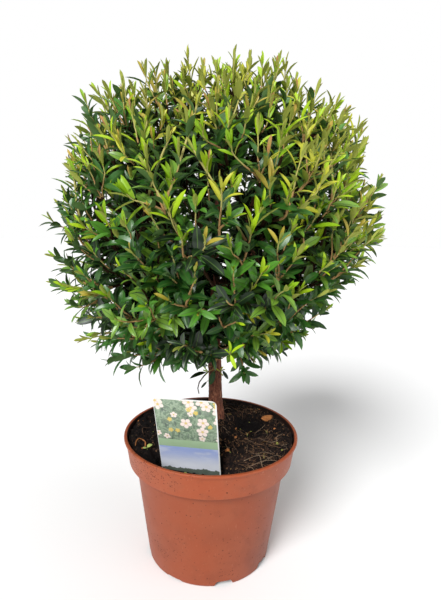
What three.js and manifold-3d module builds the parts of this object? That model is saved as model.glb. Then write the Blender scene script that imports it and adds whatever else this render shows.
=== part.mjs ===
// A myrtle grown as a lollipop standard in a plastic nursery pot: a bare trunk, a clipped ball of
// foliage in separate tufts round a hollow heart of boughs, the compost and a push-in plant label.
// Millimetres, +Z up. The origin is the centre of the pot's flat underside.
import * as THREE from "three";
import { mergeVertices } from "three/addons/utils/BufferGeometryUtils.js";
import Module from "manifold-3d";

const wasm = await Module();
wasm.setup();

// ---- Driving dimensions ----

const GAP = 0.3; // left between two pieces that touch

const POT = {
  height: 125,
  rimRadius: 85,
  lipWidth: 3,
  lipHeight: 2.6,
  collarHeight: 24.5,
  collarTopRadius: 83.3,
  collarFootRadius: 80.1,
  bodyTopRadius: 73.8,
  baseRadius: 60.5,
  cornerRadius: 2.4,
  wall: 1.3,
  floor: 2,
  segments: 48,
};

// Drain slots cut up through the foot of the wall, with sloping ends.
const SLOT = { count: 8, turn: 14, topWidth: 13, footWidth: 20, height: 5.5, depth: 11 };

const COMPOST = {
  top: 117.5,
  mound: 7.5,
  moundSpread: 24,
  hollow: { x: 36, y: 14, depth: 6, spread: 15 },
  lump: 1.1,
  chamfer: 9,
  lumpLength: 23,
  sectors: 36,
  rings: [1, 0.83, 0.66, 0.5, 0.34, 0.18], // shares of the way out from the trunk to the rim
};

const TRUNK = {
  foot: new THREE.Vector3(5.2, 27, 125),
  bend: new THREE.Vector3(2.4, 25.5, 166),
  fork: new THREE.Vector3(1.4, 24.5, 220),
  footRadius: 8.6,
  radius: 7.1,
  forkRadius: 5.6,
  flareHeight: 12,
  sides: 14,
  rings: 11,
};

const LEADER = {
  bend: new THREE.Vector3(-2, 27, 305),
  top: new THREE.Vector3(5, 22, 402),
  radius: 4.6,
  tipRadius: 1.5,
  sides: 8,
  rings: 8,
};

// Tiers of tufts, from the top down: how many, how far up the ball, how far out their middle lies, how
// high their lowest bough leaves the trunk or the leader, how far apart the boughs start, and how
// steeply they set out.
const TIERS = [
  { name: "crest", count: 1, rise: 90, turn: 0, out: 0.68 },
  { name: "upper", count: 4, rise: 36, turn: 24, out: 0.66, from: 244, step: 7, climb: 1.3 },
  { name: "middle", count: 5, rise: -7, turn: -20, out: 0.68, from: 204, step: 3.5, climb: 1.4 },
  { name: "lower", count: 4, rise: -48, turn: 50, out: 0.75, from: 193, step: 2, climb: 0.35 },
];

const BALL = {
  centre: new THREE.Vector3(4, 22, 322),
  radius: 161,
  // Where the clipped outline swells or is flatter: a direction, how much, and how widely.
  swells: [
    { towards: [0, 0, 1], by: -6, spread: 0.06 },
    { towards: [0.6, 0, 0.8], by: 6, spread: 0.06 },
    { towards: [-0.7, 0.1, 0.7], by: 3, spread: 0.08 },
    { towards: [-0.7, 0, -0.7], by: 5, spread: 0.05 },
    { towards: [0.86, 0, -0.5], by: -28, spread: 0.07 },
    { towards: [0.7, -0.5, -0.5], by: -16, spread: 0.06 },
    { towards: [0.7, 0.5, -0.5], by: -16, spread: 0.06 },
    { towards: [0.1, 0, -1], by: -15, spread: 0.12 },
    { towards: [0.3, 0.9, 0.3], by: -5, spread: 0.1 },
    { towards: [-0.4, 0.9, -0.2], by: 4, spread: 0.1 },
    { towards: [0.2, -1, -0.6], by: -4, spread: 0.08 },
  ],
};

const HEART = { centre: new THREE.Vector3(3, 23, 304), radius: 82 };

// Tufts: the space between two, how far they keep from the trunk, how sharp their corners are, how deep
// and how long the bumps on the outline are, how deep the dents are, and how finely each is faceted.
const TUFT = {
  gap: 4,
  trunkClearance: 13,
  sharpness: 8,
  bumpDepth: 9,
  bumpLengths: [41, 23],
  dent: 0.03,
  wobble: 5,
  detail: 3,
};

const BOUGH = { radius: 2.7, tipRadius: 1.5, seat: 3.2, elbow: 0.45, entry: 8, sides: 6, rings: 5 };

const LABEL = {
  width: 55.7,
  faceLength: 85,
  length: 112,
  tipWidth: 9,
  thickness: 0.7,
  cornerRadius: 4.5,
  topCentre: new THREE.Vector3(-23.6, -59.6, 180.6),
  yaw: -10.2,
  lean: 16.6,
  tilt: 1.3,
};

const COLOURS = {
  pot: 0xb4603f,
  compost: 0x2a211b,
  bark: 0x7a4a34,
  bough: 0x9a6a44,
  oldLeaf: 0x2c5226,
  youngLeaf: 0x7f9a2c,
  label: 0xa9bfa6,
};

// ---- Helpers ----

const radians = THREE.MathUtils.degToRad;
const END_RINGS = 2; // the end faces of a limb lie within this of its curve's ends

// A piece's material, from its colour and how rough it is.
function finish(color, roughness) {
  return new THREE.MeshStandardMaterial({ color, roughness, metalness: 0 });
}

// A geometry with nothing but merged positions, which closes its seams.
function welded(geometry) {
  const bare = new THREE.BufferGeometry();
  const source = geometry.index ? geometry.toNonIndexed() : geometry;
  bare.setAttribute("position", source.getAttribute("position").clone());
  return mergeVertices(bare, 1e-3);
}

function solidOf(geometry) {
  const closed = welded(geometry);
  const vertProperties = new Float32Array(closed.getAttribute("position").array);
  const triVerts = new Uint32Array(closed.index.array);
  return new wasm.Manifold(new wasm.Mesh({ numProp: 3, vertProperties, triVerts }));
}

function geometryOf(solid) {
  const { numProp, numVert, vertProperties, triVerts } = solid.getMesh();
  const positions = new Float32Array(numVert * 3);
  for (let i = 0; i < numVert; i++) {
    positions.set(vertProperties.subarray(i * numProp, i * numProp + 3), i * 3);
  }
  const geometry = new THREE.BufferGeometry();
  geometry.setAttribute("position", new THREE.BufferAttribute(positions, 3));
  geometry.setIndex(new THREE.BufferAttribute(triVerts, 1));
  geometry.computeVertexNormals();
  return geometry;
}

// Several geometries as one solid, and a geometry with such a solid taken away.
function joined(geometries) {
  return wasm.Manifold.union(geometries.map(solidOf));
}

function cut(geometry, room) {
  return geometryOf(solidOf(geometry).subtract(room));
}

function moveVertices(geometry, place) {
  const positions = geometry.getAttribute("position");
  const point = new THREE.Vector3();
  for (let i = 0; i < positions.count; i++) {
    point.fromBufferAttribute(positions, i);
    place(point);
    positions.setXYZ(i, point.x, point.y, point.z);
  }
  geometry.computeVertexNormals();
  return geometry;
}

// A smooth wave between -1 and 1 over space; waves of another phase fall in other places.
function ripple(point, wavelength, phase) {
  const turn = (2 * Math.PI) / wavelength;
  const across = Math.sin(point.x * turn + phase) + Math.sin(point.y * turn * 1.13 + 2.1 * phase);
  return (across + Math.sin(point.z * turn * 0.91 + 3.3 * phase)) / 3;
}

// A limb: a cylinder bent along a curve. radiusAt gives its radius at a share of its length, and spare
// is what it is wider and longer by, where it stands for the room that the limb takes in another piece.
function limbGeometry(curve, radiusAt, sides, rings, spare) {
  const geometry = welded(new THREE.CylinderGeometry(1, 1, 1, sides, rings));
  const frames = curve.computeFrenetFrames(rings, false);
  return moveVertices(geometry, (point) => {
    const ring = Math.round((point.y + 0.5) * rings);
    const share = ring / rings;
    const radius = radiusAt(share) + spare;
    const across = frames.normals[ring].clone().multiplyScalar(point.z * radius);
    across.addScaledVector(frames.binormals[ring], point.x * radius);
    if (ring === rings) across.addScaledVector(frames.tangents[ring], spare);
    point.copy(curve.getPointAt(share)).add(across);
  });
}

// ---- Pot ----

const collarFoot = POT.height - POT.collarHeight;

// The outside radius of the pot's body, and of its collar, at a height.
function bodyRadius(z) {
  return POT.baseRadius + (POT.bodyTopRadius - POT.baseRadius) * (z / collarFoot);
}

function collarRadius(z) {
  const share = (z - collarFoot) / (POT.collarHeight - POT.lipHeight);
  return POT.collarFootRadius + (POT.collarTopRadius - POT.collarFootRadius) * share;
}

function potProfile() {
  const { height, rimRadius, lipWidth, lipHeight, wall, floor, cornerRadius } = POT;
  const bead = lipWidth / 4;
  const shelf = collarFoot + wall;
  return [
    [0, 0],
    [POT.baseRadius - cornerRadius, 0],
    [POT.baseRadius - cornerRadius * 0.3, cornerRadius * 0.3],
    [bodyRadius(cornerRadius), cornerRadius],
    [POT.bodyTopRadius, collarFoot],
    [POT.collarFootRadius - 0.6, collarFoot],
    [collarRadius(collarFoot + 0.8), collarFoot + 0.8],
    [POT.collarTopRadius, height - lipHeight],
    [rimRadius - bead, height - lipHeight],
    [rimRadius, height - lipHeight + bead],
    [rimRadius, height - bead],
    [rimRadius - bead, height],
    [rimRadius - lipWidth + bead, height],
    [rimRadius - lipWidth, height - bead],
    [collarRadius(height - lipHeight - 1) - wall, height - lipHeight - 1],
    [collarRadius(shelf + 0.6) - wall, shelf + 0.6],
    [bodyRadius(shelf) - wall, shelf],
    [bodyRadius(floor + 1) - wall, floor + 1],
    [bodyRadius(floor) - wall - 1, floor],
    [0, floor],
  ].map(([radius, z]) => new THREE.Vector2(radius, z));
}

// A drain slot's cutter: a trapezium with its wide side down, pushed inwards through the wall.
function slotCutter(index) {
  const { topWidth, footWidth, height, depth, count, turn } = SLOT;
  const outline = new THREE.Shape();
  outline.moveTo(-footWidth / 2, -1);
  outline.lineTo(footWidth / 2, -1);
  outline.lineTo(topWidth / 2, height);
  outline.lineTo(-topWidth / 2, height);
  outline.closePath();
  const cutter = new THREE.ExtrudeGeometry(outline, { depth: depth + 3, bevelEnabled: false });
  cutter.rotateX(Math.PI / 2);
  cutter.translate(0, -(POT.baseRadius - depth), 0);
  cutter.rotateZ(radians(turn + (360 / count) * index));
  return cutter;
}

function potGeometry() {
  const shell = new THREE.LatheGeometry(potProfile(), POT.segments);
  shell.rotateX(Math.PI / 2);
  const slots = Array.from({ length: SLOT.count }, (_, index) => slotCutter(index));
  return cut(shell, joined(slots));
}

// ---- Compost ----

// How far the compost's outside lies within the pot's: the wall, the gap, and the wall's flats.
const COMPOST_INSET = POT.wall + GAP + POT.rimRadius * (1 - Math.cos(Math.PI / POT.segments));

function compostHeight(x, y) {
  const { top, mound, moundSpread, hollow, lump, lumpLength } = COMPOST;
  const fromTrunk = Math.hypot(x - TRUNK.foot.x, y - TRUNK.foot.y);
  const fromHollow = Math.hypot(x - hollow.x, y - hollow.y);
  const seat = Math.max(0, fromTrunk - TRUNK.footRadius * 1.6);
  const rise = mound * Math.exp(-((seat / moundSpread) ** 2));
  const dip = hollow.depth * Math.exp(-((fromHollow / hollow.spread) ** 2));
  const rough = seat > 0 ? lump * ripple(new THREE.Vector3(x, y, 0), lumpLength, 1.7) : 0;
  return top + rise - dip + rough;
}

// Stacked rings of points: the flat bottom, the sides under and in the collar, and the uneven top,
// whose rings draw in to the seat under the trunk.
function compostGeometry() {
  const { sectors, chamfer, rings, top } = COMPOST;
  const bottom = POT.floor + GAP;
  const shelf = collarFoot + POT.wall + GAP;
  const sides = [
    [bodyRadius(bottom) - COMPOST_INSET - chamfer, bottom],
    [bodyRadius(bottom + chamfer) - COMPOST_INSET, bottom + chamfer],
    [bodyRadius(shelf) - COMPOST_INSET, shelf],
    [collarRadius(shelf + 0.8) - COMPOST_INSET, shelf + 0.8],
  ];
  const points = [new THREE.Vector3(0, 0, bottom)];
  const ring = (place) => {
    for (let k = 0; k < sectors; k++) {
      points.push(place((2 * Math.PI * k) / sectors));
    }
  };
  for (const [radius, z] of sides) {
    ring((angle) => new THREE.Vector3(radius * Math.cos(angle), radius * Math.sin(angle), z));
  }
  const rim = collarRadius(top - COMPOST.lump * 2) - COMPOST_INSET;
  const { x: middleX, y: middleY } = TRUNK.foot;
  for (const share of rings) {
    ring((angle) => {
      const x = middleX + (rim * Math.cos(angle) - middleX) * share;
      const y = middleY + (rim * Math.sin(angle) - middleY) * share;
      return new THREE.Vector3(x, y, compostHeight(x, y));
    });
  }
  points.push(new THREE.Vector3(middleX, middleY, compostHeight(middleX, middleY)));

  const faces = [];
  const levels = (points.length - 2) / sectors;
  const last = points.length - 1;
  for (let k = 0; k < sectors; k++) {
    const next = (k + 1) % sectors;
    faces.push(0, 1 + next, 1 + k);
    for (let level = 0; level < levels - 1; level++) {
      const low = 1 + level * sectors;
      const high = low + sectors;
      faces.push(low + k, low + next, high + next, low + k, high + next, high + k);
    }
    const inner = 1 + (levels - 1) * sectors;
    faces.push(inner + k, inner + next, last);
  }
  const geometry = new THREE.BufferGeometry().setFromPoints(points);
  geometry.setIndex(faces);
  return geometry;
}

// ---- Trunk, leader and boughs ----

const trunkFoot = TRUNK.foot.clone().setZ(compostHeight(TRUNK.foot.x, TRUNK.foot.y) + GAP);
const trunkCurve = new THREE.QuadraticBezierCurve3(trunkFoot, TRUNK.bend, TRUNK.fork);
const leaderFoot = TRUNK.fork.clone().add(new THREE.Vector3(0, 0, GAP));
const leaderCurve = new THREE.QuadraticBezierCurve3(leaderFoot, LEADER.bend, LEADER.top);

// The trunk tapers up to its fork and spreads a little at its foot.
function trunkGeometry(spare = 0) {
  const length = trunkCurve.getLength();
  const radiusAt = (share) => {
    const flare = (TRUNK.footRadius - TRUNK.radius) * Math.exp((-2 * share * length) / TRUNK.flareHeight);
    return TRUNK.radius + (TRUNK.forkRadius - TRUNK.radius) * share + flare;
  };
  const geometry = limbGeometry(trunkCurve, radiusAt, TRUNK.sides, TRUNK.rings, spare);
  // The end faces are level: the flat cut at the top of the compost, and the seat of the leader.
  return moveVertices(geometry, (point) => {
    if (point.z < trunkFoot.z + END_RINGS) point.z = trunkFoot.z;
    if (point.z > TRUNK.fork.z - END_RINGS) point.z = TRUNK.fork.z;
  });
}

function leaderGeometry(spare = 0) {
  const radiusAt = (share) => LEADER.radius + (LEADER.tipRadius - LEADER.radius) * share;
  const geometry = limbGeometry(leaderCurve, radiusAt, LEADER.sides, LEADER.rings, spare);
  return moveVertices(geometry, (point) => {
    if (point.z < leaderFoot.z + END_RINGS) point.z = leaderFoot.z;
  });
}

// The point of a limb's curve at a height.
function atHeight(curve, z) {
  const points = curve.getSpacedPoints(120);
  return points.reduce((best, point) => (Math.abs(point.z - z) < Math.abs(best.z - z) ? point : best));
}

// ---- Tufts ----

// The ball's radius in a direction, with its swells.
function ballRadius(direction) {
  return BALL.swells.reduce((radius, { towards, by, spread }) => {
    const off = 1 - direction.dot(new THREE.Vector3(...towards).normalize());
    return radius + by * Math.exp(-off / spread);
  }, BALL.radius);
}

// Every tuft: its name, its middle, and what its bough needs.
const tufts = TIERS.flatMap((tier) =>
  Array.from({ length: tier.count }, (_, index) => {
    const bearing = radians(tier.turn + (360 / tier.count) * index);
    const wobble = tier.count > 1 ? TUFT.wobble * Math.sin(2.4 * index + tier.rise) : 0;
    const rise = radians(tier.rise + wobble);
    const direction = new THREE.Vector3(
      Math.cos(rise) * Math.cos(bearing),
      Math.cos(rise) * Math.sin(bearing),
      Math.sin(rise),
    );
    const middle = BALL.centre.clone().addScaledVector(direction, ballRadius(direction) * tier.out);
    const name = tier.count > 1 ? `${tier.name}_${index + 1}` : tier.name;
    return { name, tier, index, bearing, middle, phase: 1.3 * index + tier.rise };
  }),
);

// How far a ray from a point goes before it meets a sphere, from inside or outside; Infinity if never.
function toSphere(from, ray, centre, radius) {
  const offset = from.clone().sub(centre);
  const along = offset.dot(ray);
  const inside = along * along - offset.lengthSq() + radius * radius;
  if (inside < 0) return Infinity;
  const near = -along - Math.sqrt(inside);
  const far = -along + Math.sqrt(inside);
  if (near > 0) return near;
  return far > 0 ? far : Infinity;
}

// How far a ray goes before it meets the clear space round the trunk, below the middle of the heart.
function toTrunk(from, ray) {
  const offset = new THREE.Vector2(from.x - TRUNK.fork.x, from.y - TRUNK.fork.y);
  const across = new THREE.Vector2(ray.x, ray.y);
  const speed = across.length();
  if (speed < 1e-6) return Infinity;
  across.divideScalar(speed);
  const along = offset.dot(across);
  const inside = along * along - offset.lengthSq() + TUFT.trunkClearance ** 2;
  const reach = (-along - Math.sqrt(Math.max(inside, 0))) / speed;
  const low = from.z + ray.z * reach < HEART.centre.z;
  return inside > 0 && reach > 0 && low ? reach : Infinity;
}

// How far a ray goes before it meets the clipped outline, which is bumpy with the ends of shoots.
function toOutline(from, ray, phase) {
  let radius = BALL.radius;
  for (let pass = 0; pass < 4; pass++) {
    const reach = toSphere(from, ray, BALL.centre, radius);
    const hit = from.clone().addScaledVector(ray, reach);
    const [long, short] = TUFT.bumpLengths.map((length) => ripple(hit, length, phase + length));
    const bump = (TUFT.bumpDepth * (long + short - 1)) / 2;
    radius = ballRadius(hit.clone().sub(BALL.centre).normalize()) + bump;
  }
  return toSphere(from, ray, BALL.centre, radius);
}

// How far a tuft reaches from its middle along a ray. A tuft fills its share of the ball: the ray stops
// at the nearest of its neighbours' boundaries, the outline, the heart and the trunk's clear space. The
// corners between these are rounded off and the surface is dented.
function tuftReach(tuft, ray) {
  const { middle, phase } = tuft;
  const limits = tufts
    .filter((other) => other !== tuft)
    .map((other) => {
      const apart = other.middle.clone().sub(middle);
      const facing = ray.dot(apart) / apart.length();
      return facing > 1e-3 ? (apart.length() - TUFT.gap) / 2 / facing : Infinity;
    });
  limits.push(toOutline(middle, ray, phase));
  limits.push(toSphere(middle, ray, HEART.centre, HEART.radius));
  limits.push(toTrunk(middle, ray));
  const power = -TUFT.sharpness;
  const rounded = limits.reduce((sum, limit) => sum + limit ** power, 0) ** (1 / power);
  return rounded * (1 - TUFT.dent * (1 + ripple(ray, 1.6, phase)));
}

function tuftGeometry(tuft) {
  const geometry = welded(new THREE.IcosahedronGeometry(1, TUFT.detail));
  return moveVertices(geometry, (point) => {
    const ray = point.clone().normalize();
    point.copy(tuft.middle).addScaledVector(ray, tuftReach(tuft, ray));
  });
}

// A bough leaves the side of the trunk or the leader, rises, and runs into its tuft for a short way.
function boughCurve(tuft) {
  const { tier, index, bearing, middle } = tuft;
  const parent = tier.from > TRUNK.fork.z ? leaderCurve : trunkCurve;
  const sideways = new THREE.Vector3(Math.cos(bearing), Math.sin(bearing), 0);
  const start = atHeight(parent, tier.from + tier.step * ((3 * index) % tier.count));
  start.addScaledVector(sideways, BOUGH.seat);
  const back = start.clone().sub(middle).normalize();
  const end = middle.clone().addScaledVector(back, tuftReach(tuft, back) - BOUGH.entry);
  const outwards = sideways.setZ(tier.climb).normalize();
  const elbow = start.clone().addScaledVector(outwards, start.distanceTo(end) * BOUGH.elbow);
  return new THREE.QuadraticBezierCurve3(start, elbow, end);
}

function boughGeometry(curve, spare = 0) {
  const radiusAt = (share) => BOUGH.radius + (BOUGH.tipRadius - BOUGH.radius) * share;
  return limbGeometry(curve, radiusAt, BOUGH.sides, BOUGH.rings, spare);
}

// ---- Label ----

// The card: rounded at the top, straight down its printed face, then drawn in to the point that is
// pushed into the compost. spare widens it all round.
function labelGeometry(spare = 0) {
  const { width, faceLength, length, tipWidth, thickness, cornerRadius } = LABEL;
  const half = width / 2 + spare;
  const tip = tipWidth / 2 + spare;
  const outline = new THREE.Shape();
  outline.moveTo(-tip, -length - spare);
  outline.lineTo(tip, -length - spare);
  outline.lineTo(half, -faceLength);
  outline.lineTo(half, spare - cornerRadius);
  outline.absarc(half - cornerRadius, spare - cornerRadius, cornerRadius, 0, Math.PI / 2);
  outline.absarc(cornerRadius - half, spare - cornerRadius, cornerRadius, Math.PI / 2, Math.PI);
  outline.lineTo(-half, -faceLength);
  outline.closePath();
  const depth = thickness + 2 * spare;
  const card = new THREE.ExtrudeGeometry(outline, { depth, bevelEnabled: false, curveSegments: 5 });
  card.translate(0, 0, -depth / 2);
  return card;
}

function placeLabel(mesh) {
  const holder = new THREE.Group();
  holder.position.copy(LABEL.topCentre);
  holder.rotation.z = radians(LABEL.yaw);
  mesh.rotation.set(radians(90 + LABEL.lean), 0, radians(LABEL.tilt));
  holder.add(mesh);
  holder.updateMatrixWorld(true);
  return holder;
}

// The room that the label takes in the compost.
function labelCutter() {
  const mesh = new THREE.Mesh(labelGeometry(GAP));
  placeLabel(mesh);
  return mesh.geometry.applyMatrix4(mesh.matrixWorld);
}

// ---- Assembly ----

const plant = new THREE.Group();

function addPiece(name, geometry, material) {
  const mesh = new THREE.Mesh(geometry, material);
  mesh.name = name;
  plant.add(mesh);
}

addPiece("pot", potGeometry(), finish(COLOURS.pot, 0.45));
addPiece("compost", cut(compostGeometry(), joined([labelCutter()])), finish(COLOURS.compost, 0.95));
addPiece("trunk", trunkGeometry(), finish(COLOURS.bark, 0.8));
addPiece("leader", leaderGeometry(), finish(COLOURS.bough, 0.75));

const boughs = tufts
  .filter((tuft) => tuft.tier.count > 1)
  .map((tuft) => ({ name: tuft.name, curve: boughCurve(tuft) }));
const trunkRoom = joined([trunkGeometry(GAP), leaderGeometry(GAP)]);
for (const { name, curve } of boughs) {
  addPiece(`bough_${name}`, cut(boughGeometry(curve), trunkRoom), finish(COLOURS.bough, 0.75));
}

const limbRoom = trunkRoom.add(joined(boughs.map(({ curve }) => boughGeometry(curve, GAP))));
for (const tuft of tufts) {
  const colour = tuft.tier.rise > 30 ? COLOURS.youngLeaf : COLOURS.oldLeaf;
  addPiece(`foliage_${tuft.name}`, cut(tuftGeometry(tuft), limbRoom), finish(colour, 0.5));
}

const label = new THREE.Mesh(labelGeometry(), finish(COLOURS.label, 0.35));
label.name = "plant_label";
plant.add(placeLabel(label));

export default plant;
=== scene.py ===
import math

import bmesh
import bpy
import numpy as np
from mathutils import Matrix, Vector
from mathutils.bvhtree import BVHTree


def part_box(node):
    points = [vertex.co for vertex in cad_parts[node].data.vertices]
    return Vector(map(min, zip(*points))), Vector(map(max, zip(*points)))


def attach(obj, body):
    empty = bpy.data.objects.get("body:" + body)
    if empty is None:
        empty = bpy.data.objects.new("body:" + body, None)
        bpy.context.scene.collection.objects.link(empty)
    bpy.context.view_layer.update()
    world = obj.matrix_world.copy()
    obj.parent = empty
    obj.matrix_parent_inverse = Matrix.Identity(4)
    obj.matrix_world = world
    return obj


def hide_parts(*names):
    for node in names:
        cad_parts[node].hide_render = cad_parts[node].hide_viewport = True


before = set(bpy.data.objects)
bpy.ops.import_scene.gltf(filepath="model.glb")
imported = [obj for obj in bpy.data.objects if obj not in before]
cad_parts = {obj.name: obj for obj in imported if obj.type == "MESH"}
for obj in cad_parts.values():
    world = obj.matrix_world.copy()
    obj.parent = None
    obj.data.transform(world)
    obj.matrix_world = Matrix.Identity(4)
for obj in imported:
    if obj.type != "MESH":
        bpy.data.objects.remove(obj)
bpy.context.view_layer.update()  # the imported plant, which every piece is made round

bl_info = {
    "name": "Myrtle Standard",
    "version": (1, 0, 0),
    "blender": (4, 5, 0),
    "location": "3D View > Sidebar > Myrtle",
    "description": "Grows a clipped myrtle ball on its stem, and dresses its pot, compost and label",
    "category": "Add Mesh",
}

MM = 0.001
UP = np.array([0.0, 0.0, 1.0])
MASSES = sorted(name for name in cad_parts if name.startswith("foliage_"))
BOUGHS = sorted(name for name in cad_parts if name.startswith("bough_"))


# ---- Small tools ----


def shown(red, green, blue):
    """A colour as a screen shows it, 0 to 255, as the linear values that the shaders take."""
    share = np.array([red, green, blue]) / 255
    linear = np.where(share <= 0.04045, share / 12.92, ((share + 0.055) / 1.055) ** 2.4)
    return tuple(float(x) for x in linear)


def unit(vector):
    vector = np.asarray(vector, float)
    return vector / np.maximum(np.linalg.norm(vector, axis=-1, keepdims=True), 1e-12)


def smoothstep(low, high, value):
    share = np.clip((value - low) / (high - low), 0, 1)
    return share * share * (3 - 2 * share)


def bezier(start, heading, end, arriving, count):
    """Points of a curve that leaves start along heading and comes to end along arriving."""
    reach = np.linalg.norm(end - start)
    one = start + heading * reach * 0.36
    two = end - arriving * reach * 0.36
    t = np.linspace(0, 1, count)[:, None]
    rest = 1 - t
    return rest**3 * start + 3 * rest**2 * t * one + 3 * rest * t**2 * two + t**3 * end


def lengths_along(points):
    steps = np.linalg.norm(np.diff(points, axis=0), axis=1)
    return np.concatenate([[0], np.cumsum(steps)])


def at(where, along, points):
    """The places so far along a path, or its headings there."""
    return np.stack([np.interp(where, along, points[:, k]) for k in range(3)], -1)


def resampled(points, radii, spacing):
    """The same path with points about as far apart as spacing."""
    along = lengths_along(points)
    count = max(2, int(round(along[-1] / spacing)) + 1)
    where = np.linspace(0, along[-1], count)
    return at(where, along, points), np.interp(where, along, radii)


def smoothed(values, rounds):
    """A path's values with their kinks eased, its two ends kept."""
    values = np.array(values, float)
    for _ in range(rounds):
        values[1:-1] = (values[:-2] + 2 * values[1:-1] + values[2:]) / 4
    return values


def lumps(points, wavelength, seed):
    """Smooth noise between about -1 and 1, from waves in several seeded directions."""
    rng = np.random.default_rng(seed)
    total = np.zeros(len(points))
    for _ in range(7):
        direction = unit(rng.normal(size=3)) * rng.uniform(0.7, 1.4)
        phase = rng.uniform(0, 2 * math.pi)
        total += np.sin(points @ direction * (2 * math.pi / wavelength) + phase)
    return total / 3.2


# ---- Node trees ----


def arithmetic(operation, swapped=False):
    """A method that adds a Math node on a signal and another value, or on these two swapped."""

    def adds(self, other):
        pair = (other, self) if swapped else (self, other)
        return self.graph.maths(operation, *pair)

    return adds


class Signal:
    """An output socket of a node tree. Arithmetic on it adds Math nodes."""

    def __init__(self, graph, socket):
        self.graph = graph
        self.socket = socket

    __add__ = __radd__ = arithmetic("ADD")
    __mul__ = __rmul__ = arithmetic("MULTIPLY")
    __sub__, __rsub__ = arithmetic("SUBTRACT"), arithmetic("SUBTRACT", True)
    __truediv__, __rtruediv__ = arithmetic("DIVIDE"), arithmetic("DIVIDE", True)
    __gt__, __lt__ = arithmetic("GREATER_THAN"), arithmetic("LESS_THAN")
    __pow__ = arithmetic("POWER")


class Graph:
    """A node tree that is built by calls."""

    def __init__(self, tree):
        self.tree = tree

    def node(self, kind, settings=None, inputs=None, output=0):
        """Adds a node: its settings first, then the values or links of its sockets."""
        node = self.tree.nodes.new(kind)
        for name, value in (settings or {}).items():
            setattr(node, name, value)
        for key, value in (inputs or {}).items():
            if isinstance(value, Signal):
                self.tree.links.new(value.socket, node.inputs[key])
            else:
                node.inputs[key].default_value = value
        return Signal(self, node.outputs[output])

    def maths(self, operation, *values):
        """A Math node on numbers."""
        return self.node("ShaderNodeMath", {"operation": operation}, dict(enumerate(values)))

    def parts(self, vector):
        """The x, y and z of a vector."""
        node = self.tree.nodes.new("ShaderNodeSeparateXYZ")
        self.tree.links.new(vector.socket, node.inputs[0])
        return [Signal(self, output) for output in node.outputs]

    def vector(self, x, y, z):
        return self.node("ShaderNodeCombineXYZ", None, {0: x, 1: y, 2: z})

    def vectors(self, operation, *values):
        """A Vector Math node, and its second output where that is the number asked for."""
        output = 1 if operation in ("DISTANCE", "LENGTH", "DOT_PRODUCT") else 0
        inputs = dict(enumerate(values))
        return self.node("ShaderNodeVectorMath", {"operation": operation}, inputs, output)

    def mix(self, share, low, high):
        """A colour between two others."""
        opaque = [c if isinstance(c, Signal) else (*c[:3], 1) for c in (low, high)]
        settings = {"data_type": "RGBA"}
        return self.node("ShaderNodeMix", settings, {0: share, 6: opaque[0], 7: opaque[1]}, 2)

    def band(self, value, low, high):
        """0 below low, 1 above high, and a smooth rise between them."""
        settings = {"interpolation_type": "SMOOTHSTEP"}
        return self.node("ShaderNodeMapRange", settings, {0: value, 1: low, 2: high})

    def noise(self, place, scale, detail=3.0, roughness=0.5, output=0):
        inputs = {"Vector": place, "Scale": scale, "Detail": detail, "Roughness": roughness}
        return self.node("ShaderNodeTexNoise", None, inputs, output)

    def cells(self, place, scale, output, dimensions="3D", randomness=1.0):
        """Voronoi cells: the Distance to a cell's middle, or the cell's own Color or Position."""
        inputs = {"Vector": place, "Scale": scale, "Randomness": randomness}
        settings = {"voronoi_dimensions": dimensions}
        return self.node("ShaderNodeTexVoronoi", settings, inputs, output)

    def place(self):
        """Where a point of the object lies."""
        return self.node("ShaderNodeTexCoord", output="Object")


def shader(name):
    """A new material, its graph, and its surface's shader node."""
    material = bpy.data.materials.new(name)
    material.use_nodes = True
    return material, Graph(material.node_tree), material.node_tree.nodes["Principled BSDF"]


def feed(graph, node, **inputs):
    """Sets or links a shader node's sockets, whose names are given with _ for a space."""
    for key, value in inputs.items():
        socket = node.inputs[key.replace("_", " ")]
        if isinstance(value, Signal):
            graph.tree.links.new(value.socket, socket)
        elif hasattr(value, "__len__"):
            socket.default_value = (*value[:3], 1)
        else:
            socket.default_value = value


def relief(graph, height, depth, strength=1.0):
    """A Bump node's normal, from a height between 0 and 1 and a depth in metres."""
    inputs = {"Height": height, "Distance": depth, "Strength": strength}
    return graph.node("ShaderNodeBump", None, inputs)


def plain(name, colour, roughness, specular=0.5):
    """A leaf's or twig's material: one colour all over."""
    material, graph, surface = shader(name)
    feed(graph, surface, Base_Color=colour, Roughness=roughness, Specular_IOR_Level=specular)
    return material


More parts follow.
